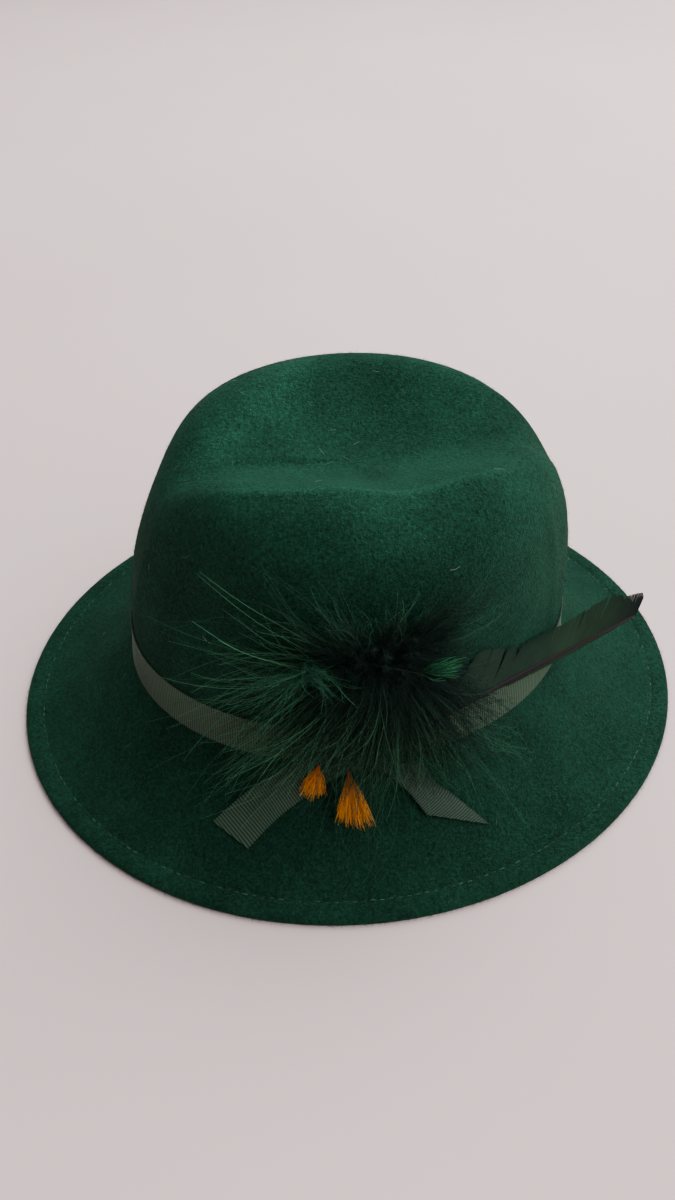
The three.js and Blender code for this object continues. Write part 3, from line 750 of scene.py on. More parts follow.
def ribbon_end(name, node, rows, material):
    """Loose end of the trim ribbon, lying on the brim between its two edge lines."""
    edges = []
    for k in (0, 1):
        plan = [(row[k][0] * MM, row[k][1] * MM, row[k][2] * MM) for row in rows]
        edges.append([(x, y, brim_top(x, y) + rise) for x, y, rise in plan])
    rough = smooth_line(0.5 * (np.array(edges[0]) + np.array(edges[1])), 60)
    long = float(np.linalg.norm(np.diff(rough, axis=0), axis=1).sum())
    count = int(round(long / RIB_PITCH * 4)) + 1
    inner, outer = smooth_line(edges[0], count), smooth_line(edges[1], count)
    lengths = np.linspace(0, long, count)
    away = np.array([0.6, 0.0, 0.6])
    piece = ribbon_grid(name, inner, outer, lengths, material, away, rows=24)
    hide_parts(node)
    return piece


def trim_knot():
    """Plain rounded knot under the feathers."""
    piece = merged_copy("trim_knot", "ribbon_knot")
    round_off = piece.modifiers.new("round_off", "SUBSURF")
    round_off.levels = 2
    apply_modifiers(piece)
    set_uv(piece, points_of(piece)[:, [1, 2]])
    smooth(piece)
    return hand_over(piece, RIBBON_END, "trim_knot")


# Strands and down

def along_paths(paths, where):
    """Points at the shares where of each path, and the run of the path there."""
    slot = where * (paths.shape[1] - 1)
    low = np.minimum(slot.astype(int), paths.shape[1] - 2)
    part = (slot - low)[..., None]
    strand = np.arange(len(paths))[:, None]
    before, after = paths[strand, low], paths[strand, low + 1]
    return before * (1 - part) + after * part, unit(after - before)


def tubes(paths, radii, tones, sides=3):
    """Tapered tubes along many paths. paths is strand by step by xyz. Gives points, faces and UV."""
    count, steps, _ = paths.shape
    run = unit(np.gradient(paths, axis=1))
    guide = np.where(np.abs(run[..., 2:3]) < 0.9, np.array([0.0, 0.0, 1.0]), np.array([1.0, 0.0, 0.0]))
    a = unit(np.cross(run, guide))
    b = np.cross(run, a)
    turn = 2 * math.pi * np.arange(sides) / sides
    cosine, sine = np.cos(turn)[None, None, :, None], np.sin(turn)[None, None, :, None]
    ring = a[:, :, None, :] * cosine + b[:, :, None, :] * sine
    points = paths[:, :, None, :] + ring * radii[:, :, None, None]
    index = np.arange(count * steps * sides).reshape(count, steps, sides)
    after = np.roll(index, -1, axis=2)
    quads = np.stack([index[:, :-1], after[:, :-1], after[:, 1:], index[:, 1:]], axis=-1).reshape(-1, 4)
    along = np.broadcast_to(np.linspace(0, 1, steps)[None, :, None], (count, steps, sides))
    tone = np.broadcast_to(tones[:, None, None], (count, steps, sides))
    uv = np.stack([along, tone], axis=-1).reshape(-1, 2)
    return points.reshape(-1, 3), quads, uv


def blades(starts, directions, lengths, widths, tones, bends):
    """Small flat tapered barbules, each a bent blade of two parts. Gives points, faces and UV."""
    count = len(starts)
    guide = unit(np.cross(directions, directions[:, [1, 2, 0]] + 0.3))
    middle = starts + directions * (lengths * 0.5)[:, None] + bends * (lengths * 0.12)[:, None]
    end = starts + directions * lengths[:, None] + bends * (lengths * 0.4)[:, None]
    half = guide * (widths / 2)[:, None]
    points = np.stack([starts - half, starts + half, middle - half * 0.8, middle + half * 0.8, end], axis=1)
    index = np.arange(count * 5).reshape(count, 5)
    quads = index[:, [0, 1, 3, 2]]
    tips = index[:, [2, 3, 4]]
    along = np.tile([0.0, 0.0, 0.5, 0.5, 1.0], (count, 1))
    uv = np.stack([along, np.broadcast_to(tones[:, None], (count, 5))], axis=-1).reshape(-1, 2)
    return points.reshape(-1, 3), quads, tips, uv


def strand_piece(name, parts, material, node):
    """Joins tubes and blades into one piece."""
    points, faces, uvs, base = [], [], [], 0
    for part in parts:
        p, *face_sets, uv = part
        points.append(p)
        uvs.append(uv)
        for face_set in face_sets:
            faces.extend((face_set + base).tolist())
        base += len(p)
    piece = mesh_piece(name, np.concatenate(points), faces, np.concatenate(uvs))
    smooth(piece)
    return hand_over(piece, material, node)


# Groups of down strands. A row says where they leave the head and where they end, in mm, then how many they are,
# their spread at the end and their thickness in mm, barbules on each and the length of a barbule in mm
DOWN_GROUPS = {
    "plume_left": [
        ((87.2, -15.0, 95.0), (56.9, -69.8, 88.2), 26, 12, 0.32, 48, 2.6),
        ((86.4, -18.5, 97.5), (67.6, -52.0, 100.0), 24, 12, 0.28, 60, 3.2),
        ((88.3, -15.2, 93.6), (64.8, -70.1, 62.0), 40, 13, 0.36, 70, 3.2),
        ((89.2, -16.6, 92.3), (68.7, -65.2, 43.2), 50, 12, 0.38, 70, 3.2),
        ((90.3, -16.8, 90.9), (80.2, -64.2, 27.6), 50, 12, 0.38, 70, 3.2),
        ((92.5, -12.4, 92.4), (84.4, -54.3, 29.6), 48, 9, 0.36, 70, 3.4),
    ],
    "plume_low_left": [
        ((92.5, -12.4, 91.4), (86.5, -42.4, 31.5), 56, 9, 0.36, 84, 3.8),
        ((93.0, -11.0, 90.0), (87.6, -33.4, 33.8), 56, 9, 0.34, 84, 3.8),
        ((93.8, -7.6, 89.1), (88.4, -25.7, 34.8), 56, 8, 0.32, 84, 3.8),
        ((94.0, -5.6, 88.6), (93.6, -17.4, 33.9), 56, 8, 0.32, 84, 3.8),
        ((91.2, -6.8, 92.6), (92.3, -16.9, 52.4), 56, 9, 0.28, 84, 4.0),
    ],
    "plume_low": [
        ((94.3, -2.9, 89.5), (98.1, -8.1, 31.2), 88, 9, 0.32, 60, 3.4),
        ((93.8, 0.0, 88.8), (99.3, 1.7, 31.5), 84, 9, 0.32, 60, 3.4),
        ((93.1, 2.2, 88.1), (100.3, 10.8, 30.6), 80, 9, 0.30, 60, 3.4),
        ((91.2, -4.8, 92.6), (92.9, -7.3, 46.1), 84, 9, 0.26, 60, 3.8),
        ((91.0, 0.0, 84.0), (93.1, 8.7, 39.5), 76, 10, 0.26, 60, 3.8),
        ((93.2, 7.0, 88.2), (97.5, 21.3, 29.3), 76, 10, 0.28, 60, 3.6),
    ],
    "plume_right": [
        ((92.0, 8.0, 88.4), (95.4, 30.9, 29.5), 64, 10, 0.26, 60, 3.6),
        ((90.9, 9.8, 89.0), (89.8, 43.3, 29.9), 60, 9, 0.26, 60, 3.4),
        ((89.1, 12.0, 89.3), (82.2, 52.0, 34.3), 52, 9, 0.22, 60, 3.2),
        ((87.9, 12.9, 89.7), (79.7, 48.5, 54.7), 56, 10, 0.22, 60, 3.4),
        ((87.0, 10.5, 92.6), (80.1, 32.5, 88.6), 64, 9, 0.20, 70, 3.8),
        ((86.8, 5.5, 96.9), (73.0, 40.2, 109.3), 76, 5, 0.22, 70, 3.8),
        ((86.8, 3.1, 98.9), (79.4, 21.2, 110.1), 54, 7, 0.20, 70, 3.8),
    ],
    "plume_high": [
        ((86.8, -0.6, 99.7), (81.2, 6.2, 112.3), 40, 8, 0.18, 60, 3.6),
        ((86.5, -6.5, 99.6), (80.8, -5.6, 113.0), 40, 8, 0.18, 60, 3.6),
        ((86.3, -11.3, 99.4), (78.5, -15.7, 114.1), 34, 8, 0.18, 56, 3.2),
        ((85.8, -16.0, 97.7), (74.0, -27.8, 114.1), 16, 8, 0.20, 48, 2.8),
        ((85.3, -19.5, 97.3), (71.1, -40.9, 107.7), 20, 8, 0.22, 48, 2.8),
    ],
}
# What each group is made of, how far its strands arch up in mm, and the shortest strand as a share
DOWN_FINISH = {
    "plume_left": (DOWN_GREEN, 6.0, 0.6),
    "plume_low_left": (DOWN_GREEN, 8.0, 0.66),
    "plume_low": (DOWN_MIDDLE, 8.0, 0.66),
    "plume_right": (DOWN_DEEP, 6.0, 0.6),
    "plume_high": (DOWN_MIDDLE, 4.0, 0.4),
}
# Rows as above, for the bright strands on the left and for the loose single hairs
BRIGHT_GROUPS = [
    ((89.2, -28.8, 98.7), (95.5, -15.0, 84.2), 40, 6, 0.22, 24, 1.6),
    ((89.4, -28.3, 98.0), (84.6, -49.5, 71.2), 34, 8, 0.24, 24, 1.6),
    ((88.9, -30.4, 97.6), (78.1, -57.9, 82.4), 24, 8, 0.26, 24, 1.6),
]
HAIR_GROUPS = [
    ((92.0, -1.4, 60.0), (114.2, -5.7, 10.9), 40, 15, 0.15, 0, 1.0),
    ((90.3, -17.0, 58.4), (104.0, -26.7, 15.3), 36, 13, 0.15, 0, 1.0),
    ((90.2, 20.9, 54.0), (106.6, 31.5, 13.3), 36, 13, 0.14, 0, 1.0),
    ((84.9, -36.8, 61.2), (83.2, -67.3, 18.6), 34, 11, 0.15, 0, 1.0),
    ((86.6, 30.6, 55.0), (84.3, 56.9, 22.7), 34, 10, 0.14, 0, 1.0),
    ((86.0, -8.0, 100.0), (72.0, -30.0, 120.0), 14, 12, 0.13, 0, 1.0),
    ((86.0, 12.0, 98.0), (72.0, 48.0, 100.0), 12, 12, 0.12, 0, 1.0),
    ((87.0, -15.0, 96.0), (58.0, -66.0, 92.0), 16, 10, 0.15, 0, 1.0),
]


BARBULE_WIDTH = 0.105 * MM
# How clumps, and strands in a clump, spread along each axis, as shares of the group's spread, then in mm the
# flick of the tips and the depth of the waves, and the way in which strands arch off the felt
CLUMP_SPREAD = np.array([0.5, 0.85, 0.85])
LOOSE_SPREAD = np.array([0.25, 0.42, 0.42])
TIP_FLICK = 4.4
WAVE_DEPTH = 0.55
ARCH_WAY = np.array([0.72, 0.0, 0.5])
FELT_WAY = np.array([0.75, 0.0, 0.66])


def group_strands(rng, rows, steps=10, arch=5.0, shortest=0.45):
    """Strands and barbules of a list of rows, the strands gathered in clumps that bow and wave."""
    paths, radii, tones = [], [], []
    fluff = [[], [], [], [], [], []]
    t = np.linspace(0, 1, steps)
    for root, tip, count, spread, thick, barbules, barbule_long in rows:
        root, tip = np.array(root), np.array(tip)
        start = root + rng.normal(0, 2.2, (count, 3)) * np.array([0.6, 1, 1])
        clumps = rng.normal(0, 1, (max(4, count // 4), 3)) * spread * CLUMP_SPREAD
        loose = rng.normal(0, 1, (count, 3)) * spread * LOOSE_SPREAD
        end = tip + clumps[rng.integers(0, len(clumps), count)] + loose
        share = rng.uniform(shortest, 1.08, count)
        end = start + (end - start) * share[:, None]
        way = end - start
        side = unit(np.cross(way, FELT_WAY))
        path = start[:, None] + way[:, None] * t[None, :, None]
        bow = np.sin(math.pi * t)[None, :, None]
        path = path + bow * ARCH_WAY * (arch * rng.uniform(0.2, 1.3, count))[:, None, None]
        path = path + side[:, None] * (bow * rng.normal(0, 0.06, count)[:, None, None]
                                       * np.linalg.norm(way, axis=1)[:, None, None])
        flick = (t ** 3)[None, :, None] * side[:, None] * rng.normal(0, TIP_FLICK, count)[:, None, None]
        wave = np.sin(t[None, :] * rng.uniform(5, 12, count)[:, None] + rng.uniform(0, 6, count)[:, None])
        path = path + flick + side[:, None] * (wave * t * WAVE_DEPTH)[..., None]
        gap = (0.0007 + 0.0012 * np.sin(math.pi * t))[None, :] * rng.uniform(0.6, 2.2, count)[:, None]
        path = lift_off(path * MM, gap)
        radius = thick / 2 * rng.uniform(0.45, 1.1, count)[:, None] * (1 - 0.7 * t ** 2)[None, :]
        tone = rng.uniform(0, 1, count)
        paths.append(path)
        radii.append(radius * MM)
        tones.append(tone)
        if not barbules:
            continue
        where = rng.uniform(0.0, 0.93, (count, barbules)) ** 1.15
        base, run = along_paths(path, where)
        turn = unit(np.cross(run, rng.normal(0, 1, run.shape)))
        lean = rng.uniform(0.35, 0.9, where.shape)[..., None]
        direction = unit(run * lean + turn)
        length = barbule_long * MM * rng.uniform(0.4, 1.15, where.shape) * (1.05 - 0.75 * where)
        bend = unit(run + rng.normal(0, 0.35, run.shape))
        for store, value in zip(fluff, (base, direction, length, np.full(where.shape, BARBULE_WIDTH),
                                        np.clip(tone[:, None] + rng.normal(0, 0.2, where.shape), 0, 1), bend)):
            store.append(value.reshape(-1, *value.shape[2:]))
    parts = [tubes(np.concatenate(paths), np.concatenate(radii), np.concatenate(tones))]
    soft = [blades(*[np.concatenate(s) for s in fluff])] if fluff[0] else []
    return parts, soft


# Head of the plume: its middle and half sizes in mm
PLUME_HEAD = np.array([85.5, -3.0, 92.0])
PLUME_HEAD_HALF = np.array([6.0, 19.0, 10.5])


def plume_core(rng):
    """Short dark down all round the head of the plume."""
    count, barbules, steps = 560, 40, 6
    direction = unit(rng.normal(0, 1, (count, 3)))
    direction[:, 0] = np.abs(direction[:, 0]) * 0.9
    start = PLUME_HEAD + direction * PLUME_HEAD_HALF * 0.5
    out = unit(direction * np.array([0.7, 1.2, 1.0]))
    end = PLUME_HEAD + direction * PLUME_HEAD_HALF + out * rng.uniform(6, 18, count)[:, None]
    t = np.linspace(0, 1, steps)
    path = start[:, None] + (end - start)[:, None] * t[None, :, None]
    path = path + np.sin(math.pi * t)[None, :, None] * rng.normal(0, 1.3, (count, 1, 3))
    path = lift_off(path * MM, 0.0008)
    radius = np.full((count, 1), 0.07 * MM) * (1 - 0.8 * t)[None, :]
    tone = rng.uniform(0, 1, count)
    where = rng.uniform(0.05, 0.97, (count, barbules))
    base, run = along_paths(path, where)
    spin = unit(np.cross(run, rng.normal(0, 1, run.shape)))
    away = unit(run * 0.6 + spin)
    length = MM * rng.uniform(1.2, 3.2, where.shape)
    bend = unit(run + rng.normal(0, 0.4, run.shape))
    tones = np.repeat(tone, barbules)
    soft = blades(base.reshape(-1, 3), away.reshape(-1, 3), length.ravel(), np.full(length.size, 0.1 * MM), tones,
                  bend.reshape(-1, 3))
    return [tubes(path, radius, tone), soft]


def down_plume():
    """The whole plume: dark core, groups of strands with their fluff, bright strands and single hairs."""
    rng = np.random.default_rng(41)
    strand_piece("plume_core", plume_core(rng), DOWN_DARK, "marabou_plume")
    for number, (name, rows) in enumerate(DOWN_GROUPS.items()):
        material, arch, shortest = DOWN_FINISH[name]
        rng = np.random.default_rng([41, number])
        strands, fluff = group_strands(rng, rows, arch=arch, shortest=shortest)
        strand_piece(name + "_strands", strands, material, "marabou_plume")
        strand_piece(name + "_fluff", fluff, DOWN_DARK, "marabou_plume")
    rng = np.random.default_rng(42)
    strands, fluff = group_strands(rng, BRIGHT_GROUPS, arch=3.0)
    strand_piece("plume_bright_strands", strands + fluff, DOWN_BRIGHT, "marabou_plume")
    strands, _ = group_strands(rng, HAIR_GROUPS, arch=6.0, shortest=0.7)
    strand_piece("plume_hairs", strands, DOWN_HAIR, "marabou_plume")


# Stiff feather

# Line of the shaft and the way its vane stands, in mm; the vane's cup, its stretch as shares of the length, how
# many of its barbs start a new lot, and how wide a barb is beside its spacing
QUILL_ROOT = np.array([93.3, 7.6, 60.2])
QUILL_TIP = np.array([32.7, 125.1, 44.0])
VANE_UP = np.array([-0.1, -0.1, 0.98])
VANE_CUP = 0.002
VANE_FROM, VANE_TO = 0.12, 1.005
VANE_SPLITS = 0.03
BARB_SPACING = 0.79
BARB_OVERLAP = 1.35
BARB_THICK = 0.00009
# Share of the length, reach of the vane above and below the shaft, and shaft thickness, in mm
QUILL_ROWS = np.array([
    (0.0, 1.4, 1.4, 1.3), (0.12, 5.0, 1.5, 1.3), (0.15, 14.0, 1.6, 1.3), (0.175, 21.0, 1.7, 1.3),
    (0.20, 22.0, 1.8, 1.3), (0.24, 20.0, 2.0, 1.3),
    (0.30, 17.6, 2.4, 1.25), (0.358, 16.0, 2.7, 1.2), (0.374, 10.8, 2.8, 1.2), (0.388, 14.8, 2.9, 1.2),
    (0.46, 15.0, 3.1, 1.15), (0.535, 14.6, 3.1, 1.1), (0.62, 15.6, 3.2, 1.0), (0.70, 16.8, 3.2, 0.95),
    (0.77, 17.4, 3.0, 0.85), (0.86, 14.8, 2.6, 0.7), (0.893, 11.4, 2.3, 0.65), (0.905, 12.8, 2.1, 0.65),
    (0.985, 10.8, 1.2, 0.5), (1.03, 5.0, -5.0, 0.4),
])


def quill_frame():
    """Run of the shaft, the way its vane stands up, the way it faces, and its length."""
    way = QUILL_TIP - QUILL_ROOT
    long = np.linalg.norm(way)
    run = way / long
    up = unit(VANE_UP - run * VANE_UP.dot(run))
    return run, up, np.cross(run, up), long


def quill_shaft():
    """Round shaft that thins to its tip, from a cylinder cut into short rings."""
    run, up, face, long = quill_frame()
    steps = 60
    t = np.linspace(-0.02, 1.0, steps)
    path = QUILL_ROOT + run * (t * long)[:, None]
    thick = np.interp(t, QUILL_ROWS[:, 0], QUILL_ROWS[:, 3])
    bpy.ops.mesh.primitive_cylinder_add(vertices=14, radius=1.0, depth=1.0, end_fill_type="NGON")
    piece = named(bpy.context.object, "feather_shaft")
    edit_all(piece, *[(bpy.ops.mesh.bisect, {"plane_co": (0, 0, -0.5 + k / (steps - 1)), "plane_no": (0, 0, 1)})
                      for k in range(1, steps - 1)])
    p = points_of(piece)
    share = p[:, 2] + 0.5
    at = np.interp(share, np.linspace(0, 1, steps), np.arange(steps))
    centre = np.stack([np.interp(at, np.arange(steps), path[:, k]) for k in range(3)], axis=1)
    radius = np.interp(at, np.arange(steps), thick) * 1.05
    place = centre + up * (p[:, 0] * radius)[:, None] + face * (p[:, 1] * radius)[:, None]
    set_points(piece, place * MM)
    smooth(piece, 60)
    return hand_over(piece, SHAFT, "quill_feather")


def vane(name, side, barbs, rng):
    """Barbs side by side on one side of the shaft, in lots that stand apart a little where the vane has split."""
    run, up, face, long = quill_frame()
    column = 1 if side > 0 else 2
    at = np.linspace(VANE_FROM, VANE_TO, barbs)
    reach = np.interp(at, QUILL_ROWS[:, 0], QUILL_ROWS[:, column])
    reach = np.maximum(reach, 0.6) * (1 + rng.normal(0, 0.012, barbs))
    lot = np.cumsum(rng.uniform(0, 1, barbs) < VANE_SPLITS)
    lots = rng.normal(0, 1, (lot.max() + 1, 3))
    steps = 9
    u = np.linspace(0, 1, steps)
    slant = 0.62 if side > 0 else 0.8
    p = np.empty((barbs, steps, 2, 3))
    width = long / barbs * BARB_SPACING * BARB_OVERLAP
    for i in range(barbs):
        shift = lots[lot[i]] * min(1.0, (1.02 - at[i]) / 0.12)
        lean = slant * (1 + 0.035 * shift[0])
        out = reach[i] * u
        along = at[i] * long + lean * out * (1 - 0.18 * u)
        along = along + 0.5 * shift[0] * u ** 2
        normal = -VANE_CUP * out * out + 0.22 * shift[1] * u ** 1.5 + 0.10 * math.sin(i * 2.4)
        centre = QUILL_ROOT + run * along[:, None] + up * (side * out)[:, None] + face * normal[:, None]
        half = width / 2 * (1 - 0.45 * u ** 2)
        p[i, :, 0] = centre - run * half[:, None] - face * 0.05
        p[i, :, 1] = centre + run * half[:, None] + face * 0.07
    p = lift_off(p * MM, 0.0005)
    index = np.arange(barbs * steps * 2).reshape(barbs, steps, 2)
    quads = np.stack([index[:, :-1, 0], index[:, :-1, 1], index[:, 1:, 1], index[:, 1:, 0]], axis=-1).reshape(-1, 4)
    if side < 0:
        quads = quads[:, ::-1]
    uv = np.empty((barbs, steps, 2, 2))
    uv[..., 0] = u[None, :, None]
    uv[..., 1] = at[:, None, None]
    piece = mesh_piece(name, p.reshape(-1, 3), quads.tolist(), uv.reshape(-1, 2))
    thick = piece.modifiers.new("thick", "SOLIDIFY")
    thick.thickness = BARB_THICK
    thick.offset = 0.0
    apply_modifiers(piece)
    smooth(piece, 40)
    return hand_over(piece, VANE, "quill_feather")


# Small tufts and thread

def tuft(name, node, material, root, tips, barbs, seed, barbules=16, barbule_long=0.8):
    """Small fan of fine barbs from one root to the line through its tips."""
    rng = np.random.default_rng(seed)
    root = np.array(root)
    line = smooth_line(tips, 40)
    steps = 10
    t = np.linspace(0, 1, steps)
    pick = rng.uniform(0, 39, barbs)
    low = np.minimum(pick.astype(int), 38)
    end = line[low] + (line[low + 1] - line[low]) * (pick - low)[:, None]
    start = root + rng.normal(0, 0.5, (barbs, 3))
    share = rng.uniform(0.62, 1.08, barbs)
    end = start + (end - start) * share[:, None] + rng.normal(0, 0.7, (barbs, 3))
    centre = line.mean(axis=0)
    path = start[:, None] + (end - start)[:, None] * t[None, :, None]
    pinch = (centre - root)[None, None, :] * t[None, :, None] + root
    gather = (np.clip(1 - t / 0.55, 0, 1) ** 1.3 * 0.75)[None, :, None]
    path = path * (1 - gather) + pinch * gather
    path = path + np.sin(math.pi * t)[None, :, None] * rng.normal(0, 0.55, (barbs, 1, 3))
    path = path + np.sin(math.pi * t)[None, :, None] * np.array([0.8, 0, 0.8])
    path = lift_off(path * MM, 0.0006)
    radius = rng.uniform(0.14, 0.22, barbs)[:, None] * MM * (1 - 0.72 * t ** 2)[None, :]
    tone = rng.uniform(0, 1, barbs)
    parts = [tubes(path, radius, tone)]
    where = rng.uniform(0.15, 0.9, (barbs, barbules))
    base, run = along_paths(path, where)
    spin = unit(np.cross(run, rng.normal(0, 1, run.shape)))
    away = unit(run * 1.5 + spin)
    length = MM * barbule_long * rng.uniform(0.5, 1.3, where.shape)
    parts.append(blades(base.reshape(-1, 3), away.reshape(-1, 3), length.ravel(), np.full(length.size, 0.06 * MM),
                        np.repeat(tone, barbules), run.reshape(-1, 3)))
    return strand_piece(name, parts, material, node)


def binding_thread():
    """Two plies of thread wound round each other along the tie."""
    steps, turns, apart, thick = 90, 16, 0.08, 0.18
    line = smooth_line([(89.8, -13.5, 100.3), (94.8, -4.0, 100.3), (96.6, 4.0, 98.5), (97.0, 11.0, 95.0)], steps)
    run = unit(np.gradient(line, axis=0))
    a = unit(np.cross(run, np.array([0.0, 0.0, 1.0])))
    b = np.cross(run, a)
    turn = np.linspace(0, 2 * math.pi * turns, steps)
    plies = []
    for start in (0.0, math.pi):
        off = a * (apart * np.cos(turn + start))[:, None] + b * (apart * np.sin(turn + start))[:, None]
        plies.append((line + off) * MM)
    radii = np.full((2, steps), thick / 2 * MM)
    parts = [tubes(np.array(plies), radii, np.array([0.3, 0.6]), sides=6)]
    return strand_piece("tie_thread", parts, THREAD, "binding_thread")


# Brim seam, nap and lint

# One stitch: places along it as shares of the pitch, their height in the groove, and how full the thread is there
STITCH_AT = np.array([0.14, 0.2, 0.38, 0.56, 0.74, 0.8])
STITCH_RISE = np.array([-0.0004, -0.00004, 0.00012, 0.00012, -0.00004, -0.0004])
STITCH_FULL = np.array([0.6, 0.9, 1.0, 1.0, 0.9, 0.6])
STITCH_RADIUS = 0.00018


def brim_stitches():
    """One row of short machine stitches round the brim, each a small rounded dash lying in the groove."""
    reach = BRIM_WIDTH - FOOT_FLARE - STITCH_IN
    turns = np.linspace(0, 2 * math.pi, 1441)
    half_x = FOOT_WIDTH / 2 + FOOT_FLARE + reach
    half_y = FOOT_LENGTH / 2 + FOOT_FLARE + reach
    x, y = half_x * np.cos(turns), half_y * np.sin(turns)
    steps = np.concatenate([[0], np.cumsum(np.hypot(np.diff(x), np.diff(y)))])
    count = int(round(steps[-1] / STITCH_PITCH))
    rng = np.random.default_rng(7)
    paths = []
    for i in range(count):
        places = (i + STITCH_AT + rng.normal(0, 0.02)) * steps[-1] / count
        side = np.interp(places % steps[-1], steps, turns)
        rise = STITCH_RISE + rng.normal(0, 0.00006)
        off = rng.normal(0, 0.00012)
        row = []
        for s, h in zip(side, rise):
            px, py = (half_x + off) * math.cos(s), (half_y + off) * math.sin(s)
            row.append((px, py, brim_top(px, py) + h))
        paths.append(row)
    paths = np.array(paths)
    radii = np.broadcast_to(STITCH_FULL * STITCH_RADIUS, (count, len(STITCH_AT)))
    p, quads, uv = tubes(paths, radii, rng.uniform(0, 1, count), sides=6)
    piece = mesh_piece("brim_stitches", p, quads.tolist(), uv)
    smooth(piece)
    return hand_over(piece, STITCH)


# Side of the patches in which the nap has one tone, and factors that give each patch an unlike value
NAP_PATCH = 0.0009
PATCH_MIX = np.array([12.9898, 78.233, 37.719, 43758.5453])
FLOOR_GAP = 0.0002


def faces_inwards(centre, normal):
    """True for faces on the inner side of the crown and brim."""
    return (normal[:, :2] * centre[:, :2]).sum(1) < -0.012 * (normal[:, 2] < 0.75)


def felt_fuzz(name, count, seed, long, thick, edge_only, material):
    """Short loose fibres that stand off the felt, in small patches of one tone."""
    rng = np.random.default_rng(seed)
    mesh = HAT.data
    mesh.calc_loop_triangles()
    tris = np.empty(len(mesh.loop_triangles) * 3, dtype=np.int32)
    mesh.loop_triangles.foreach_get("vertices", tris)
    tris = tris.reshape(-1, 3)
    p = points_of(HAT)
    corners = p[tris]
    cross = np.cross(corners[:, 1] - corners[:, 0], corners[:, 2] - corners[:, 0])
    area = np.linalg.norm(cross, axis=1)
    normal = unit(cross)
    centre = corners.mean(axis=1)
    reach = plan_reach(centre[:, 0], centre[:, 1])
    near_rim = np.abs(reach - (BRIM_WIDTH - FOOT_FLARE)) < 0.002
    outside = (normal[:, 2] > -0.25) & ~((normal[:, 2] < 0.25) & (centre[:, 2] < 0.003))
    weight = area * outside * ~faces_inwards(centre, normal)
    if edge_only:
        weight = area * near_rim * (centre[:, 2] > 0.0008)
    pick = rng.choice(len(tris), count, p=weight / weight.sum())
    share = rng.uniform(0, 1, (count, 2))
    flip = share.sum(1) > 1
    share[flip] = 1 - share[flip]
    start = (corners[pick, 0] + (corners[pick, 1] - corners[pick, 0]) * share[:, :1]
             + (corners[pick, 2] - corners[pick, 0]) * share[:, 1:])
    out = normal[pick]
    drift = unit(np.cross(out, rng.normal(0, 1, (count, 3))))
    direction = unit(out * rng.uniform(0.15, 0.9, count)[:, None] + drift)
    length = long * rng.uniform(0.4, 1.5, count)
    start = start - out * 0.0001
    patch = np.sin(np.floor(start / NAP_PATCH) @ PATCH_MIX[:3]) * PATCH_MIX[3] % 1
    tone = 0.75 * patch + 0.25 * rng.uniform(0, 1, count)
    bend = unit(drift + rng.normal(0, 0.8, (count, 3)))
    points, quads, tips, uv = blades(start, direction, length, np.full(count, thick), tone, bend)
    points[:, 2] = np.maximum(points[:, 2], FLOOR_GAP)
    piece = mesh_piece(name, points, quads.tolist() + tips.tolist(), uv)
    return hand_over(piece, material)


def lint_fibres():
    """A few pale loose fibres caught on the felt."""
    rng = np.random.default_rng(31)
    count, steps, radius = 44, 9, 0.00007
    paths = []
    while len(paths) < count:
        turn = rng.uniform(0, 2 * math.pi)
        if rng.uniform() < 0.45:
            out = Vector((math.cos(turn), math.sin(turn), 0))
            hit = HAT_TREE.ray_cast(out * 0.2 + Vector((0, 0, rng.uniform(0.055, 0.12))), -out)
        else:
            reach = rng.uniform(0, 0.135)
            hit = HAT_TREE.ray_cast(Vector((reach * math.cos(turn), reach * math.sin(turn), 0.2)), Vector((0, 0, -1)))
        if hit[0] is None or hit[0].z < 0.003:
            continue
        run = hit[1].cross(Vector(rng.normal(0, 1, 3))).normalized()
        bend = hit[1].cross(run) * rng.normal(0, 0.4)
        long = rng.uniform(0.0015, 0.006)
        path = []
        for t in np.linspace(-0.5, 0.5, steps):
            place = hit[0] + run * (t * long) + bend * (t * t * long)
            near, normal, _, _ = HAT_TREE.find_nearest(place)
            path.append(near + normal * (0.0003 + 0.0004 * rng.uniform()))
        paths.append(path)
    radii = np.broadcast_to(radius * (1 - 0.6 * np.linspace(-1, 1, steps) ** 2), (len(paths), steps))
    p, quads, uv = tubes(np.array(paths), radii, rng.uniform(0, 1, len(paths)), sides=4)
    piece = mesh_piece("lint_fibres", p, quads.tolist(), uv)
    smooth(piece)
    return hand_over(piece, LINT_FIBRE)


hat_band()
ribbon_end("ribbon_end_front", "ribbon_tail_front", FRONT_END, RIBBON_END)
ribbon_end("ribbon_end_back", "ribbon_tail_back", BACK_END, RIBBON_BACK_END_PAINTED_SHADE)
trim_knot()
down_plume()
quill_shaft()
vane("feather_vane_upper", 1, 350, np.random.default_rng(12))
vane("feather_vane_lower", -1, 240, np.random.default_rng(13))
tuft("orange_barbs_large", "orange_feather_large", ORANGE, (92.6, -15.5, 40.0),
     [(99.5, -22.0, 20.6), (102.8, -16.0, 19.6), (103.8, -7.6, 20.0)], barbs=420, seed=3)
tuft("orange_barbs_small", "orange_feather_small", ORANGE, (89.8, -27.0, 42.5),
     [(88.8, -35.8, 29.0), (92.4, -31.5, 26.6), (93.2, -25.6, 29.0)], barbs=210, seed=4)
tuft("green_barbs", "green_hackle", HACKLE, (93.6, 10.0, 93.0),
     [(96.6, 21.0, 100.6), (95.3, 25.5, 96.8), (98.2, 22.5, 92.0)], barbs=64, seed=5)
binding_thread()
brim_stitches()
lint_fibres()
felt_fuzz("felt_nap", count=40000, seed=21, long=0.0017, thick=0.00010, edge_only=False, material=FELT_FUZZ)
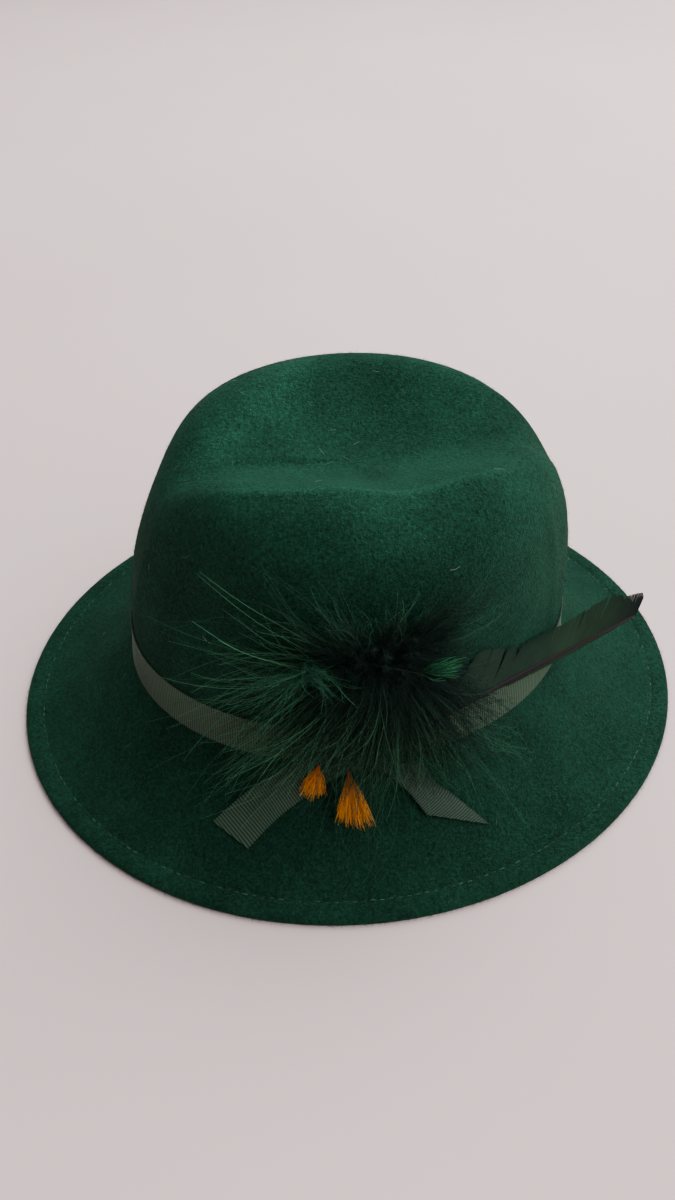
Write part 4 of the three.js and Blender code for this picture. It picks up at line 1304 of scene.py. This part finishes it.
felt_fuzz("felt_rim_fibres", count=9000, seed=22, long=0.0016, thick=0.00008, edge_only=True, material=FELT_FUZZ)


FLOOR_TONES = [(0.3, (0.90, 0.70, 0.695)), (0.7, (0.95, 0.745, 0.74))]
ROOM_COLOUR = (1.0, 0.965, 0.955, 1.0)
ROOM_STRENGTH = 0.14
# Lamps: name, place, side of the square in metres, power in watts
LAMPS = [
    ("window_light", (-0.8, 1.05, 1.35), 1.9, 52.0),
    ("back_light", (-1.35, -0.35, 1.25), 1.6, 15.0),
    ("room_light", (0.85, 1.2, 1.5), 1.8, 38.0),
]
LAMP_AIM = Vector((0.0, 0.0, 0.06))


def stage_and_light():
    """Plain pale floor, a dim room and three soft square lamps."""
    bpy.ops.mesh.primitive_plane_add(size=6.0, location=(0, 0, 0))
    floor = named(bpy.context.object, "floor")
    material, net, shader = new_material("pale_floor")
    tone = net.noise(net.object_place(), 3.0, 2.0)
    net.link(net.ramp(tone, FLOOR_TONES), shader.inputs["Base Color"])
    set_values(shader, Roughness=0.9)
    floor.data.materials.append(material)
    world = bpy.context.scene.world or bpy.data.worlds.new("studio")
    bpy.context.scene.world = world
    world.use_nodes = True
    set_values(world.node_tree.nodes["Background"], Color=ROOM_COLOUR, Strength=ROOM_STRENGTH)
    for name, place, size, power in LAMPS:
        bpy.ops.object.light_add(type="AREA", location=place)
        light = bpy.context.object
        light.name = name
        light.data.size = size
        light.data.energy = power
        aim = LAMP_AIM - Vector(place)
        light.rotation_euler = aim.to_track_quat("-Z", "Y").to_euler()


def photo_camera():
    """Camera that sees the hat as the photograph does."""
    forward = Vector((-math.cos(EYE_RISE) * math.cos(EYE_TURN), -math.cos(EYE_RISE) * math.sin(EYE_TURN),
                      -math.sin(EYE_RISE)))
    right = Vector((-math.sin(EYE_TURN), math.cos(EYE_TURN), 0.0))
    up = right.cross(forward)
    side = right * math.cos(EYE_TILT) + up * math.sin(EYE_TILT)
    over = up * math.cos(EYE_TILT) - right * math.sin(EYE_TILT)
    place = -forward * EYE_DISTANCE + side * EYE_SIDE + over * EYE_UP
    data = bpy.data.cameras.new("photo_view")
    data.sensor_fit = "VERTICAL"
    data.sensor_height = SENSOR_HEIGHT
    data.lens = SENSOR_HEIGHT * (PHOTO_FOCAL / PHOTO_HEIGHT)
    data.clip_start = 0.01
    camera = bpy.data.objects.new("photo_view", data)
    bpy.context.collection.objects.link(camera)
    turn = Matrix((side, over, -forward)).transposed().to_4x4()
    camera.matrix_world = Matrix.Translation(place) @ turn
    bpy.context.scene.camera = camera


stage_and_light()
photo_camera()
